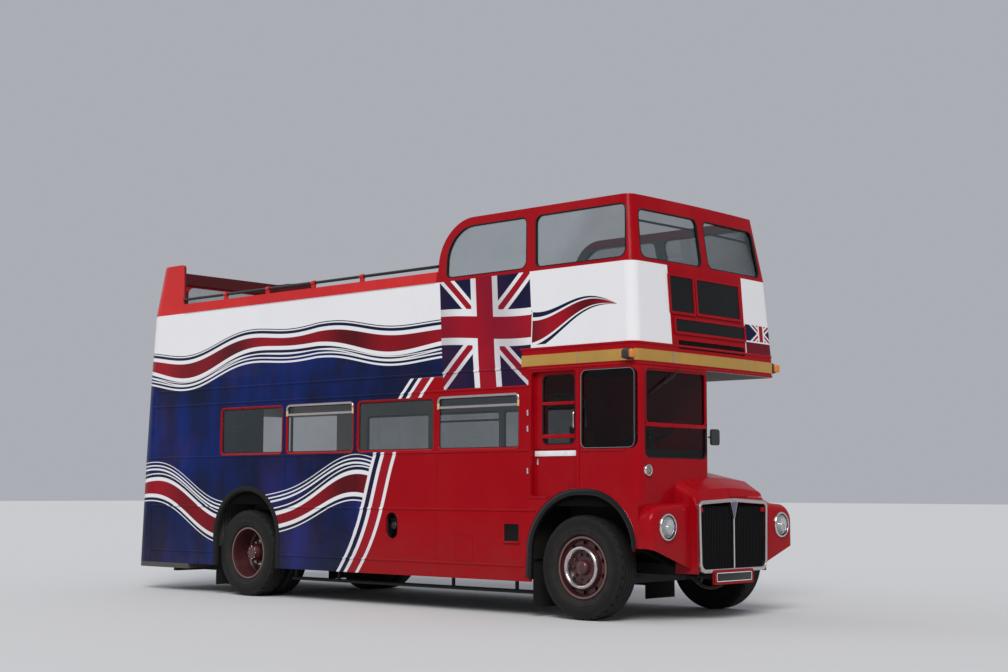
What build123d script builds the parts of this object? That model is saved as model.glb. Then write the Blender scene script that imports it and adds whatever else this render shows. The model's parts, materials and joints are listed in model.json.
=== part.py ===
from build123d import *
import math
import os

# Open top half-cab double-decker bus with a rear entrance platform.
# Sizes are millimetres. X is measured forward from the front axle, Y to the bus's left
# (the pavement side, called nearside), Z up from the road. Every piece is moved by BOX_SHIFT
# at the end, so that the origin is on the road under the middle of the bus.

# Driving dimensions
LENGTH = 8382.0
HALF_WIDTH = 1219.0
WHEELBASE = 5131.0
FRONT_OVERHANG = 989.0
REAR_AXLE_X = -WHEELBASE
REAR_X = FRONT_OVERHANG - LENGTH
BOX_SHIFT = LENGTH / 2 - FRONT_OVERHANG
WALL = 40.0
GLASS = 6.0
GLASS_INSET = 17.0

# Levels above the road
SKIRT_Z = 345.0
PLATFORM_THICKNESS = 60.0
FLOOR_TOP = 610.0
FLOOR_THICKNESS = 40.0
DECK_Z = 2440.0
DECK_THICKNESS = 50.0
WAIST_UPPER_Z = 3461.0
CANT_RAIL_TOP = 3575.0
HOOP_TOP = 4130.0

# Places along the bus
BULKHEAD_X = -640.0
PLATFORM_X = -6230.0
REAR_SEAM_X = -7040.0
CAB_FRONT_X = 717.0
FIN_FRONT_X = -6503.0
HOOP_REAR_X = -2005.0

# The body's plan outline at a few heights, joined by straight sides in between
BODY_SECTIONS = (
    # height, half width, rear x, front x
    (285, 1219, -7393, 717),
    (1645, 1219, -7325, 717),
    (2600, 1216, -7262, 717),
    (3461, 1174, -7245, 655),
    (4130, 1080, -7185, 556),
)
REAR_CORNER = 250.0
FRONT_CORNER = 110.0
FRONT_BOW = 28.0

# Wheels
TYRE_R = 505.0
TYRE_WIDTH = 259.0
BEAD_R = 285.0
TYRE_OUTER_Y = 1200.0
TWIN_SPACING = 291.0
STUB_R = 45.0
RUNNING_GAP = 0.5
KINGPIN_Y = 905.0
KINGPIN_R = 24.0

# Saloon windows on each side of the lower deck
LOWER_WINDOWS = (
    # front edge x, rear edge x
    (-776, -1939),
    (-1989, -3192),
    (-3250, -4407),
    (-4475, -5637),
)
LOWER_WINDOW_Z = (1659.0, 2227.0)
LOWER_WINDOW_R = 55.0

# Cab, wings and bonnet
CAB_INNER_Y = -40.0
CAB_FLOOR_Z = 1100.0
CAB_FLOOR_THICKNESS = 30.0
SPLASH_Z = 690.0
WING_TOP = 1140.0
WING_BACK_X = 660.0
NOSE_HALF_WIDTH = 594.0
BONNET_SKIN = 25.0
LID_EDGE_Y = -30.0


def block(x_range, y_range, z_range):
    """A box between two x, two y and two z."""
    spans = [high - low for low, high in (x_range, y_range, z_range)]
    middles = [(high + low) / 2 for low, high in (x_range, y_range, z_range)]
    return Pos(*middles) * Box(*spans)


def outline(*corners):
    """A closed face in the plane's own axes; each corner is (u, v, radius)."""
    edges = []
    starts, ends = [], []
    count = len(corners)
    for i, (u, v, radius) in enumerate(corners):
        here = Vector(u, v)
        back = (Vector(*corners[i - 1][:2]) - here).normalized()
        on = (Vector(*corners[(i + 1) % count][:2]) - here).normalized()
        if radius == 0:
            starts.append(here)
            ends.append(here)
            continue
        half_angle = math.radians(back.get_angle(on)) / 2
        run = radius / math.tan(half_angle)
        centre = here + (back + on).normalized() * (radius / math.sin(half_angle))
        middle = centre + (here - centre).normalized() * radius
        starts.append(here + back * run)
        ends.append(here + on * run)
        edges.append(ThreePointArc(starts[-1], middle, ends[-1]))
    for i in range(count):
        if (starts[(i + 1) % count] - ends[i]).length > 0.001:
            edges.append(Line(ends[i], starts[(i + 1) % count]))
    return make_face(edges)


def side_prism(face, y_low, y_high):
    """Carries a face drawn in x and z across the bus from y_low to y_high."""
    plane = Plane(origin=(0, y_high, 0), x_dir=(1, 0, 0), z_dir=(0, -1, 0))
    return extrude(plane * face, amount=y_high - y_low)


def front_prism(face, x_low, x_high):
    """Carries a face drawn in y and z along the bus from x_low to x_high."""
    plane = Plane(origin=(x_low, 0, 0), x_dir=(0, 1, 0), z_dir=(1, 0, 0))
    return extrude(plane * face, amount=x_high - x_low)


def plan_prism(face, z_low, z_high):
    """Carries a face drawn in x and y up from z_low to z_high."""
    return extrude(Plane.XY.offset(z_low) * face, amount=z_high - z_low)


def rounded_box_face(u_range, v_range, radius):
    (u0, u1), (v0, v1) = u_range, v_range
    return outline((u0, v0, radius), (u1, v0, radius), (u1, v1, radius), (u0, v1, radius))


def across(shape):
    """The same shape on the other side of the bus."""
    return mirror(shape, about=Plane.XZ)


def both_sides(shape):
    return [shape, across(shape)]


def rod(start, end, radius):
    start, end = Vector(*start), Vector(*end)
    way = end - start
    plane = Plane(origin=start, z_dir=way.normalized())
    return extrude(plane * Circle(radius), amount=way.length)


def wheel_spin(profile, x):
    """Turns a profile drawn as (radius, y) about the axle line at x."""
    plane = Plane(origin=(x, 0, TYRE_R), x_dir=(1, 0, 0), z_dir=(0, 0, -1))
    return revolve(plane * profile, axis=Axis((x, 0, TYRE_R), (0, 1, 0)))


def joined(pieces):
    """One solid from pieces that touch."""
    whole = pieces[0]
    for piece in pieces[1:]:
        whole = whole + piece
    return whole


def save(node, *shapes):
    solids = []
    for shape in shapes:
        solids.extend(shape.solids())
    placed = Compound(children=[Pos(BOX_SHIFT, 0, 0) * solid for solid in solids])
    export_step(placed, f"parts/{node}.step")


# The body envelope

def section_at(z):
    """Half width, rear x and front x at a height, by straight lines between the sections."""
    for low, high in zip(BODY_SECTIONS, BODY_SECTIONS[1:]):
        if z <= high[0]:
            share = (z - low[0]) / (high[0] - low[0])
            return [a + (b - a) * share for a, b in zip(low[1:], high[1:])]
    return list(BODY_SECTIONS[-1][1:])


def plan_face(z, inset):
    half, rear, front = section_at(z)
    half, rear, front = half - inset, rear + inset, front - inset
    rear_r, front_r = REAR_CORNER - inset, FRONT_CORNER - inset
    shoulder = front - FRONT_BOW
    corner = math.sqrt(0.5)
    edges = []
    for side in (-1, 1):
        side_front = Vector(shoulder - front_r, side * half)
        side_rear = Vector(rear + rear_r, side * half)
        rear_end = Vector(rear, side * (half - rear_r))
        front_end = Vector(shoulder, side * (half - front_r))
        rear_mid = Vector(rear + rear_r * (1 - corner), side * (half - rear_r * (1 - corner)))
        front_mid = Vector(shoulder - front_r * (1 - corner), side * (half - front_r * (1 - corner)))
        edges.append(Line(side_rear, side_front))
        edges.append(ThreePointArc(side_front, front_mid, front_end))
        edges.append(ThreePointArc(side_rear, rear_mid, rear_end))
    edges.append(Line(Vector(rear, -(half - rear_r)), Vector(rear, half - rear_r)))
    nose = Vector(front, 0)
    edges.append(ThreePointArc(Vector(shoulder, -(half - front_r)), nose, Vector(shoulder, half - front_r)))
    return Plane.XY.offset(z) * make_face(edges)


def envelope(z_low, z_high, inset):
    """The body's outer form between two heights, drawn in by an inset."""
    levels = [z_low] + [row[0] for row in BODY_SECTIONS if z_low < row[0] < z_high] + [z_high]
    return loft([plan_face(z, inset) for z in levels], ruled=True)


def shell(z_low, z_high, outer_inset, thickness):
    return envelope(z_low, z_high, outer_inset) - envelope(z_low, z_high, outer_inset + thickness)


# Outlines seen from the side, as (x, z, radius)

FRONT_ARCH = outline((-640, 200, 0), (-640, 1217, 630), (670, 1217, 560), (640, 200, 0))
REAR_ARCH = outline((-5695, 200, 0), (-5695, 1245, 560), (-4545, 1245, 560), (-4545, 200, 0))
CAB_DOOR_OPENING = rounded_box_face((-620, -38), (1179, 2425), 40)
CAB_SIDE_WINDOW = rounded_box_face((20, 690), (1650, 2420), 70)
HOOP_FRONT_WINDOW = outline((-609, 3490, 80), (548, 3490, 80), (486, 4040, 80), (-678, 4040, 80))
HOOP_REAR_WINDOW = outline((-1871, 3490, 60), (-727, 3490, 80), (-790, 4040, 80), (-1920, 4040, 340))
UPPER_SIDE = outline(
    (REAR_SEAM_X, DECK_Z, 0),
    (575, DECK_Z, 0),
    (575, 3470, 0),
    (478, HOOP_TOP, 0),
    (HOOP_REAR_X - 10, HOOP_TOP, 450),
    (HOOP_REAR_X, CANT_RAIL_TOP, 0),
    (FIN_FRONT_X - 24, CANT_RAIL_TOP, 0),
    (FIN_FRONT_X, WAIST_UPPER_Z, 0),
    (REAR_SEAM_X, WAIST_UPPER_Z, 0),
)
REAR_FIN = outline(
    (REAR_X - 50, DECK_Z, 0),
    (REAR_SEAM_X, DECK_Z, 0),
    (REAR_SEAM_X, WAIST_UPPER_Z, 0),
    (FIN_FRONT_X, WAIST_UPPER_Z, 0),
    (-6640, 4098, 60),
    (-7235, 4098, 190),
    (-7290, 3461, 0),
    (REAR_X - 50, 3461, 0),
)


def lower_window_cutters(y_low, y_high):
    return [
        side_prism(rounded_box_face((rear, front), LOWER_WINDOW_Z, LOWER_WINDOW_R), y_low, y_high)
        for front, rear in LOWER_WINDOWS
    ]


# Upper deck

REACH = 1500.0
upper_shell = shell(DECK_Z, HOOP_TOP, 0, WALL)
upper_pane = shell(3450, HOOP_TOP, GLASS_INSET, GLASS)
offside_slab = (-REACH, -900.0)


def upper_side():
    wall = upper_shell & side_prism(UPPER_SIDE, *offside_slab)
    for window in (HOOP_FRONT_WINDOW, HOOP_REAR_WINDOW):
        wall = wall - side_prism(window, *offside_slab)
    return wall


FRONT_WINDOWS = (
    # y at the low outer corner, y at the high outer corner, y beside the middle pillar
    (-1035, -985, -50),
    (1035, 985, 50),
)
FRONT_WINDOW_Z = (3490.0, 3990.0)
VENT_Z = (2633.0, 2720.0)
VENT_Y = (-536.0, 614.0)
VENT_DEPTH = 32.0


def front_window_face(low_y, high_y, middle_y):
    z_low, z_high = FRONT_WINDOW_Z
    corners = [(low_y, z_low, 70), (middle_y, z_low, 70), (middle_y, z_high, 70), (high_y, z_high, 70)]
    return outline(*corners)


FRONT_REGION = outline(
    (575, DECK_Z, 0),
    (900, DECK_Z, 0),
    (900, HOOP_TOP, 0),
    (478, HOOP_TOP, 0),
    (575, 3470, 0),
)


def upper_front():
    wall = upper_shell & side_prism(FRONT_REGION, -REACH, REACH)
    for window in FRONT_WINDOWS:
        wall = wall - front_prism(front_window_face(*window), 300, 900)
    return wall - block((CAB_FRONT_X - VENT_DEPTH, 900), VENT_Y, VENT_Z)


def vent_slats():
    """Thin blades across the air intake, joined by its short uprights."""
    blades = []
    z_low, z_high = VENT_Z
    count = 5
    pitch = (z_high - z_low) / count
    blade_x = (CAB_FRONT_X - VENT_DEPTH - 4, CAB_FRONT_X - 22)
    bite = 4.0
    for i in range(count):
        blade_z = z_low + pitch * (i + 0.5)
        blades.append(block(blade_x, (VENT_Y[0] - bite, VENT_Y[1] + bite), (blade_z - 5, blade_z + 5)))
    for i in range(4):
        post_y = VENT_Y[0] + (VENT_Y[1] - VENT_Y[0]) * (i + 1) / 5
        blades.append(block(blade_x, (post_y - 6, post_y + 6), (z_low - bite, z_high + bite)))
    return joined(blades)


SIGN_BOXES = (
    # y low, y high, z low, z high
    (-625, -256, 3000, 3352),
    (-189, 556, 3008, 3350),
    (-572, 618, 2804, 2927),
)
SIGN_FRAME = 26.0


def sign_boxes():
    """Frames of the three blank sign windows, standing a little out of the front."""
    frames = []
    skin = shell(2700, 3460, -14, 13.6)
    for y_low, y_high, z_low, z_high in SIGN_BOXES:
        outer_y = (y_low - SIGN_FRAME, y_high + SIGN_FRAME)
        outer_z = (z_low - SIGN_FRAME, z_high + SIGN_FRAME)
        outer = rounded_box_face(outer_y, outer_z, 24)
        inner = rounded_box_face((y_low, y_high), (z_low, z_high), 16)
        frames.append(skin & front_prism(outer, 500, 900) - front_prism(inner, 400, 950))
    return joined(frames)


def sign_glass():
    skin = shell(2700, 3460, -6, 5.8)
    panes = []
    for y_low, y_high, z_low, z_high in SIGN_BOXES:
        panes.append(skin & front_prism(rounded_box_face((y_low, y_high), (z_low, z_high), 16), 500, 900))
    return panes


REAR_WINDOW = rounded_box_face((-600, 600), (3400, 3900), 90)
REAR_BEAM_Z = (3930.0, 4098.0)


def rear_upper():
    region = side_prism(REAR_FIN, -REACH, REACH)
    inner_room = block((-7190, -6000), (-900, 900), (WAIST_UPPER_Z, REAR_BEAM_Z[0]))
    wall = (upper_shell & region) - inner_room
    return wall - front_prism(REAR_WINDOW, -7600, -7100)


def upper_glass():
    panes = []
    for window in (HOOP_FRONT_WINDOW, HOOP_REAR_WINDOW):
        panes += both_sides(upper_pane & side_prism(window, *offside_slab))
    for window in FRONT_WINDOWS:
        panes.append(upper_pane & front_prism(front_window_face(*window), 400, 900))
    panes.append(upper_pane & front_prism(REAR_WINDOW, -7600, -7100))
    return panes


STAIR_Y = (-1160.0, -560.0)
STAIR_WELL_X = (-7080.0, -5660.0)
STAIR_WELL_Y = (-HALF_WIDTH, STAIR_Y[1])


def upper_floor():
    deck = envelope(DECK_Z, DECK_Z + DECK_THICKNESS, WALL)
    return deck - block(STAIR_WELL_X, STAIR_WELL_Y, (DECK_Z, DECK_Z + DECK_THICKNESS))


# Lower deck

FILLER = rounded_box_face((-2720, -2525), (722, 1012), 92)
SIDE_VENT = rounded_box_face((-985, -776), (733, 918), 12)


def side_vent_blades():
    """Slanting blades in the small air outlet ahead of the saloon."""
    blades = []
    for i in range(6):
        z = 748 + i * 28
        outer_y, inner_y = -HALF_WIDTH + 6, -HALF_WIDTH + 26
        blade = outline((outer_y, z, 0), (inner_y, z + 18, 0), (inner_y, z + 24, 0), (outer_y, z + 6, 0))
        blades.append(front_prism(blade, -990, -771))
    return joined(blades)


def lower_side(x_low, front_cutters):
    wall = lower_shell & block((x_low, BULKHEAD_X), offside_slab, (SKIRT_Z, DECK_Z))
    for cutter in front_cutters:
        wall = wall - cutter
    return wall - side_prism(REAR_ARCH, *offside_slab)


ENTRANCE_HEAD_Z = 2250.0
REAR_PANEL_Y = -40.0
REAR_SIGN_WINDOW = rounded_box_face((-960, -330), (1420, 2120), 80)

lower_shell = shell(SKIRT_Z, DECK_Z, 0, WALL)


def rear_lower():
    head = lower_shell & block((REAR_X - 50, PLATFORM_X), (-REACH, REACH), (ENTRANCE_HEAD_Z, DECK_Z))
    head = head - block((REAR_SEAM_X, PLATFORM_X), (-REACH, 0), (ENTRANCE_HEAD_Z, DECK_Z))
    panel_room = block((REAR_X - 50, REAR_SEAM_X), (-REACH, REAR_PANEL_Y), (SKIRT_Z, ENTRANCE_HEAD_Z))
    panel = lower_shell & panel_room
    return (head + panel) - front_prism(REAR_SIGN_WINDOW, -7600, -7150)


def rear_platform():
    slab = envelope(SKIRT_Z - PLATFORM_THICKNESS, SKIRT_Z, 0)
    return slab & block((REAR_X - 50, PLATFORM_X), (-REACH, REACH), (0, 1000))


WHEEL_BOX_X = (-5730.0, -4520.0)
WHEEL_BOX_Y = 600.0
WHEEL_BOX_TOP = 1100.0
WHEEL_BOX_SKIN = 20.0
INNER_HALF = HALF_WIDTH - WALL


def wheel_box():
    """Box over a pair of rear wheels, open below and to the side panel's arch."""
    outer = block(WHEEL_BOX_X, (-INNER_HALF, -WHEEL_BOX_Y), (FLOOR_TOP - FLOOR_THICKNESS, WHEEL_BOX_TOP))
    x_low, x_high = WHEEL_BOX_X
    room = block(
        (x_low + WHEEL_BOX_SKIN, x_high - WHEEL_BOX_SKIN),
        (-INNER_HALF - 10, -WHEEL_BOX_Y - WHEEL_BOX_SKIN),
        (0, WHEEL_BOX_TOP - WHEEL_BOX_SKIN),
    )
    return outer - room, outer


RAMP = outline((-5560, FLOOR_TOP, 0), (-4700, FLOOR_TOP, 0), (-4900, 730, 0), (-5360, 730, 0))
RAMP_HOLLOW = outline(
    (-5500, 400, 0),
    (-4760, 400, 0),
    (-4760, 596, 0),
    (-4905, 712, 0),
    (-5355, 712, 0),
    (-5500, 596, 0),
)
RAMP_HOLLOW_Y = 500.0


def lower_floor():
    underside = FLOOR_TOP - FLOOR_THICKNESS
    slab = block((PLATFORM_X, BULKHEAD_X), (-INNER_HALF, INNER_HALF), (underside, FLOOR_TOP))
    skin, solid = wheel_box()
    for box in both_sides(solid):
        slab = slab - box
    for box in both_sides(skin):
        slab = slab + box
    slab = slab + side_prism(RAMP, -WHEEL_BOX_Y, WHEEL_BOX_Y)
    slab = slab - side_prism(RAMP_HOLLOW, -RAMP_HOLLOW_Y, RAMP_HOLLOW_Y)
    riser = block((PLATFORM_X, PLATFORM_X + 30), (-INNER_HALF, INNER_HALF), (SKIRT_Z, underside))
    return slab + riser


STAIR_RISERS = 9
STAIR_START_X = -7090.0
STAIR_GOING = 175.0
STAIR_SKIN = 24.0


def staircase():
    """Nine straight steps up the offside rear, with the panel that closes their inner side."""
    rise = (DECK_Z + DECK_THICKNESS - SKIRT_Z) / STAIR_RISERS
    steps = []
    for i in range(STAIR_RISERS - 1):
        x = STAIR_START_X + i * STAIR_GOING
        z = SKIRT_Z + (i + 1) * rise
        steps.append(block((x, x + STAIR_GOING + STAIR_SKIN), STAIR_Y, (z - STAIR_SKIN, z)))
        steps.append(block((x, x + STAIR_SKIN), STAIR_Y, (z - rise, z)))
    top_x = STAIR_START_X + (STAIR_RISERS - 1) * STAIR_GOING
    steps.append(block((top_x, top_x + STAIR_SKIN), STAIR_Y, (DECK_Z - rise + STAIR_SKIN, DECK_Z)))
    side = outline(
        (STAIR_START_X, SKIRT_Z, 0),
        (PLATFORM_X, SKIRT_Z, 0),
        (PLATFORM_X, FLOOR_TOP, 0),
        (top_x + STAIR_SKIN, FLOOR_TOP, 0),
        (top_x + STAIR_SKIN, DECK_Z, 0),
        (STAIR_START_X, SKIRT_Z + rise + 40, 0),
    )
    steps.append(side_prism(side, STAIR_Y[1], STAIR_Y[1] + STAIR_SKIN))
    return joined(steps)


def lower_glass():
    """Panes of the saloon's side windows, set in the middle of the wall."""
    pane_y = (-HALF_WIDTH + GLASS_INSET, -HALF_WIDTH + GLASS_INSET + GLASS)
    panes = []
    for pane in lower_window_cutters(*pane_y):
        panes += both_sides(pane)
    rear_skin = shell(1300, 2200, GLASS_INSET, GLASS)
    panes.append(rear_skin & front_prism(REAR_SIGN_WINDOW, -7600, -7150))
    return panes


BULKHEAD_WINDOWS = (
    # y low, y high, z low, z high
    (-980, -330, 1620, 2230),
    (180, 1080, 1620, 2230),
)
DOOR_SLOT_Y = -1129.0
DOOR_SLOT_Z = 1150.0


def bulkhead():
    x_range = (BULKHEAD_X, BULKHEAD_X + WALL)
    wall = block(x_range, (-INNER_HALF, HALF_WIDTH), (FLOOR_TOP - FLOOR_THICKNESS, DECK_Z))
    wall = wall - block(x_range, (-INNER_HALF, DOOR_SLOT_Y), (DOOR_SLOT_Z, DECK_Z))
    for y_low, y_high, z_low, z_high in BULKHEAD_WINDOWS:
        wall = wall - front_prism(rounded_box_face((y_low, y_high), (z_low, z_high), 60), -700, -500)
    return wall


def bulkhead_glass():
    x_low = BULKHEAD_X + GLASS_INSET
    return [
        front_prism(rounded_box_face((y_low, y_high), (z_low, z_high), 60), x_low, x_low + GLASS)
        for y_low, y_high, z_low, z_high in BULKHEAD_WINDOWS
    ]


# Cab

WINDSCREEN = rounded_box_face((-1105, -95), (1560, 2415), 75)


def cab_plan(inset):
    back = BULKHEAD_X + WALL if inset else BULKHEAD_X
    front = CAB_FRONT_X - inset
    return outline(
        (back, -HALF_WIDTH + inset, 0),
        (front, -HALF_WIDTH + inset, FRONT_CORNER - inset),
        (front, CAB_INNER_Y - inset, 70 - inset),
        (back, CAB_INNER_Y - inset, 0),
    )


def cab_shell():
    ring = plan_prism(cab_plan(0), WING_TOP, DECK_Z) - plan_prism(cab_plan(WALL), 0, 3000)
    ring = ring - block((BULKHEAD_X - 1, BULKHEAD_X + WALL), (-INNER_HALF, 0), (0, 3000))
    side = block((BULKHEAD_X, WING_BACK_X), (-HALF_WIDTH, -INNER_HALF), (680, WING_TOP))
    wall = (ring + side) - side_prism(FRONT_ARCH, -1300, -1100)
    wall = wall - side_prism(CAB_DOOR_OPENING, -1300, -1100)
    wall = wall - side_prism(CAB_SIDE_WINDOW, -1300, -1100)
    return wall - front_prism(WINDSCREEN, 600, 900)


def cab_floor():
    """The cab's floor plate with the wheel house's inner wall below it."""
    x_range = (BULKHEAD_X + WALL, CAB_FRONT_X - WALL)
    z_range = (CAB_FLOOR_Z, CAB_FLOOR_Z + CAB_FLOOR_THICKNESS)
    plate = block(x_range, (-INNER_HALF, CAB_INNER_Y - WALL), z_range)
    splash = block((BULKHEAD_X + WALL, WING_BACK_X), (-630, -615), (SPLASH_Z, CAB_FLOOR_Z))
    plate = plate - block((WING_BACK_X, 900), (-REACH, 0), (1000, WING_TOP))
    return plate + splash


def cab_glass():
    side_y = (-HALF_WIDTH + GLASS_INSET, -HALF_WIDTH + GLASS_INSET + GLASS)
    front_x = CAB_FRONT_X - GLASS_INSET
    return [
        side_prism(CAB_SIDE_WINDOW, *side_y),
        front_prism(WINDSCREEN, front_x - GLASS, front_x),
    ]


DOOR_Y = (-1169.0, -1139.0)
DOOR_WINDOW = rounded_box_face((-514, -90), (1700, 2390), 60)


def cab_door():
    panel = side_prism(rounded_box_face((-632, -24), (1160, 2433), 30), *DOOR_Y)
    return panel - side_prism(DOOR_WINDOW, -1300, -1100)


def cab_door_glass():
    middle = (DOOR_Y[0] + DOOR_Y[1]) / 2
    return side_prism(DOOR_WINDOW, middle - GLASS / 2, middle + GLASS / 2)


# Bonnet, nose and wings

BONNET_SECTIONS = (
    # x, half width, shoulder height, ridge height
    (-596, 632, 1490, 1545),
    (300, 632, 1425, 1472),
    (717, 632, 1339, 1392),
    (850, 600, 1266, 1330),
    (905, 594, 1236, 1294),
    (945, 594, 1146, 1172),
)
NOSE_BOTTOM = 455.0
CROWN_R = 3800.0


def bonnet_section(x, half, shoulder, ridge, inset):
    radius = 90.0 - inset
    plane = Plane(origin=(x, 0, 0), x_dir=(0, 1, 0), z_dir=(1, 0, 0))
    return plane * outline(
        (-half + inset, NOSE_BOTTOM, 0),
        (half - inset, NOSE_BOTTOM, 0),
        (half - inset, shoulder - inset, radius),
        (0, ridge - inset, CROWN_R),
        (-half + inset, shoulder - inset, radius),
    )


def bonnet_shell():
    outer = loft([bonnet_section(*row, 0) for row in BONNET_SECTIONS], ruled=True)
    inner = loft([bonnet_section(*row, BONNET_SKIN) for row in BONNET_SECTIONS], ruled=True)
    return outer - inner


whole_bonnet = bonnet_shell()
GAP = 6.0


def lid_region(drop):
    """Side view of all that lies above the lid's lower edge, or a little lower."""
    return outline(
        (BULKHEAD_X, 1304 - drop, 0),
        (400, 1294 - drop, 0),
        (CAB_FRONT_X, 1190 - drop, 0),
        (1000, 1190 - drop, 0),
        (1000, 1700, 0),
        (BULKHEAD_X, 1700, 0),
    )


def nose_cowl():
    ahead = whole_bonnet & block((CAB_FRONT_X, 945), (-700, 700), (NOSE_BOTTOM, 1700))
    return ahead - side_prism(lid_region(GAP), LID_EDGE_Y - GAP, 700)


def bonnet_lid():
    lid = whole_bonnet & block((-590, 945), (LID_EDGE_Y, 700), (NOSE_BOTTOM, 1700))
    return lid & side_prism(lid_region(0), LID_EDGE_Y, 700)


WING_SECTIONS = (
    # x, outer half width, top, radius of the outer shoulder
    (600, 1219, 1140, 6),
    (700, 1219, 1140, 40),
    (760, 1213, 1137, 84),
    (808, 1194, 1126, 120),
    (842, 1164, 1106, 140),
    (866, 1124, 1074, 146),
    (878, 1084, 1034, 140),
)
WING_UNDERCUT = outline((600, 690, 0), (1000, 600, 0), (1000, 300, 0), (600, 300, 0))
WING_FOOT = outline((-1300, 300, 0), (-1300, 722, 0), (-560, 536, 0), (-560, 300, 0))


def wing_section(x, outer, top, radius):
    plane = Plane(origin=(x, 0, 0), x_dir=(0, 1, 0), z_dir=(1, 0, 0))
    return plane * outline((-outer, 500, 0), (-560, 500, 0), (-560, top, 0), (-outer, top, radius))


def wing_nose(back_x=WING_BACK_X, inner_y=NOSE_HALF_WIDTH + 45):
    """The lamp end of a front wing, from the wheel arch to the radiator cowl."""
    solid = loft([wing_section(*row) for row in WING_SECTIONS], ruled=True)
    solid = solid - block((0, back_x), (-REACH, 0), (0, 2000))
    solid = solid - block((0, CAB_FRONT_X), (-inner_y, 0), (0, 2000))
    solid = solid - loft([bonnet_section(*row, 0) for row in BONNET_SECTIONS[2:]], ruled=True)
    solid = solid - side_prism(WING_UNDERCUT, -1300, -500)
    return solid - front_prism(WING_FOOT, 500, 1000)


WING_CROWN = outline(
    (BULKHEAD_X + WALL, 698, 0),
    (WING_BACK_X, 698, 0),
    (WING_BACK_X, WING_TOP, 0),
    (330, 1262, 400),
    (-200, 1275, 300),
    (BULKHEAD_X + WALL, 1235, 0),
)


def wing_nearside():
    """The pavement side wing: a sheet over the wheel, its arched side and the engine's side wall."""
    whole = side_prism(WING_CROWN, 620, HALF_WIDTH)
    crown_room = outline(
        (BULKHEAD_X + WALL - 10, 600, 0),
        (WING_BACK_X + 10, 600, 0),
        (WING_BACK_X + 10, WING_TOP - 40, 0),
        (330, 1222, 400),
        (-200, 1235, 300),
        (BULKHEAD_X + WALL - 10, 1195, 0),
    )
    sheet = whole - side_prism(crown_room, 600, INNER_HALF)
    sheet = sheet - side_prism(FRONT_ARCH, 1100, 1300)
    inner_wall = block((BULKHEAD_X + WALL, CAB_FRONT_X), (607, 632), (SPLASH_Z, 1700))
    inner_wall = inner_wall - side_prism(lid_region(GAP), 600, 700)
    return sheet + inner_wall + across(wing_nose(WING_BACK_X - 12, 620))


# Radiator and front

def radiator_surround():
    """The polished frame round the radiator with its middle strip and blank shield."""
    def frame_face(inset):
        half = NOSE_HALF_WIDTH - inset
        return outline(
            (-half + 18, 461 + inset, 90 - inset * 0.6),
            (half - 18, 461 + inset, 90 - inset * 0.6),
            (half, 1150 - inset, 60 - inset * 0.6),
            (0, 1176 - inset, 0),
            (-half, 1150 - inset, 60 - inset * 0.6),
        )
    ring = front_prism(frame_face(0), 945, 968) - front_prism(frame_face(34), 900, 1000)
    strip = block((945, 964), (-9, 9), (480, 1150))
    shield = front_prism(outline((-62, 1146, 12), (62, 1146, 12), (0, 960, 8)), 945, 972)
    return ring + strip + shield


def radiator_grille():
    """Upright slats in front of the radiator's core."""
    slats = [block((905, 925), (-560, 560), z_range) for z_range in ((490, 520), (1070, 1100))]
    pitch = 26.0
    count = 43
    for i in range(count):
        y = (i - (count - 1) / 2) * pitch
        slats.append(block((912, 944), (y - 4, y + 4), (490, 1100)))
    core = block((800, 905), (-520, 520), (500, 1100))
    return joined([core] + slats)


LAMP_X = 840.0
LAMP_Y = 977.0
LAMP_Z = 905.0


def headlamp():
    lens = outline((0, 0, 0), (0, 84, 0), (60, 80, 200), (114, 62, 0), (131, 50, 8), (131, 0, 0))
    plane = Plane(origin=(LAMP_X, -LAMP_Y, LAMP_Z), x_dir=(0, 1, 0), z_dir=(0, 0, -1))
    body = revolve(plane * lens, axis=Axis((LAMP_X, -LAMP_Y, LAMP_Z), (1, 0, 0)))
    return body - wing_nose()


def small_lamps():
    """Ear shaped direction lamps, the round side lamps and the tail lamps."""
    ear = block((560, 660), (-1296, -HALF_WIDTH + 2), (2500, 2585)) - envelope(2450, 2650, 0)
    side = rod((CAB_FRONT_X, -1068, 1441), (CAB_FRONT_X + 22, -1068, 1441), 57)
    lamps = both_sides(ear) + [side]
    for z in (900, 1010):
        tail = rod((REAR_X + 4, -1000, z), (REAR_X + 90, -1000, z), 45)
        lamps.append(tail - envelope(600, 1300, 0))
    return lamps


def number_plates():
    front = block((972, FRONT_OVERHANG), (-350, 292), (352, 480))
    bracket = block((945, 972), (-260, 200), (400, 461))
    return [front + bracket]


# Inside: cab fittings and seats

SEAT_PITCH = 711.0
SEAT_WIDTH = 870.0


def seat_pad(x, y_mid, floor_z):
    """Cushion and back of one double seat; x is the back of the backrest's foot."""
    y_range = (y_mid - SEAT_WIDTH / 2, y_mid + SEAT_WIDTH / 2)
    cushion = outline(
        (x + 60, floor_z + 330, 0),
        (x + 480, floor_z + 350, 30),
        (x + 480, floor_z + 450, 40),
        (x + 60, floor_z + 430, 0),
    )
    back = outline(
        (x + 20, floor_z + 330, 0),
        (x + 60, floor_z + 330, 0),
        (x + 60, floor_z + 430, 0),
        (x - 40, floor_z + 900, 30),
        (x - 105, floor_z + 890, 30),
    )
    return side_prism(cushion, *y_range) + side_prism(back, *y_range)


def seat_frame(x, y_mid, floor_z):
    """Legs and rail under one double seat."""
    pieces = [block((x + 60, x + 440), (y_mid - 400, y_mid + 400), (floor_z + 290, floor_z + 330))]
    for leg_y in (y_mid - 300, y_mid + 300):
        pieces.append(block((x + 100, x + 140), (leg_y - 15, leg_y + 15), (floor_z, floor_z + 290)))
        pieces.append(block((x + 360, x + 400), (leg_y - 15, leg_y + 15), (floor_z, floor_z + 290)))
    return joined(pieces)


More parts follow.
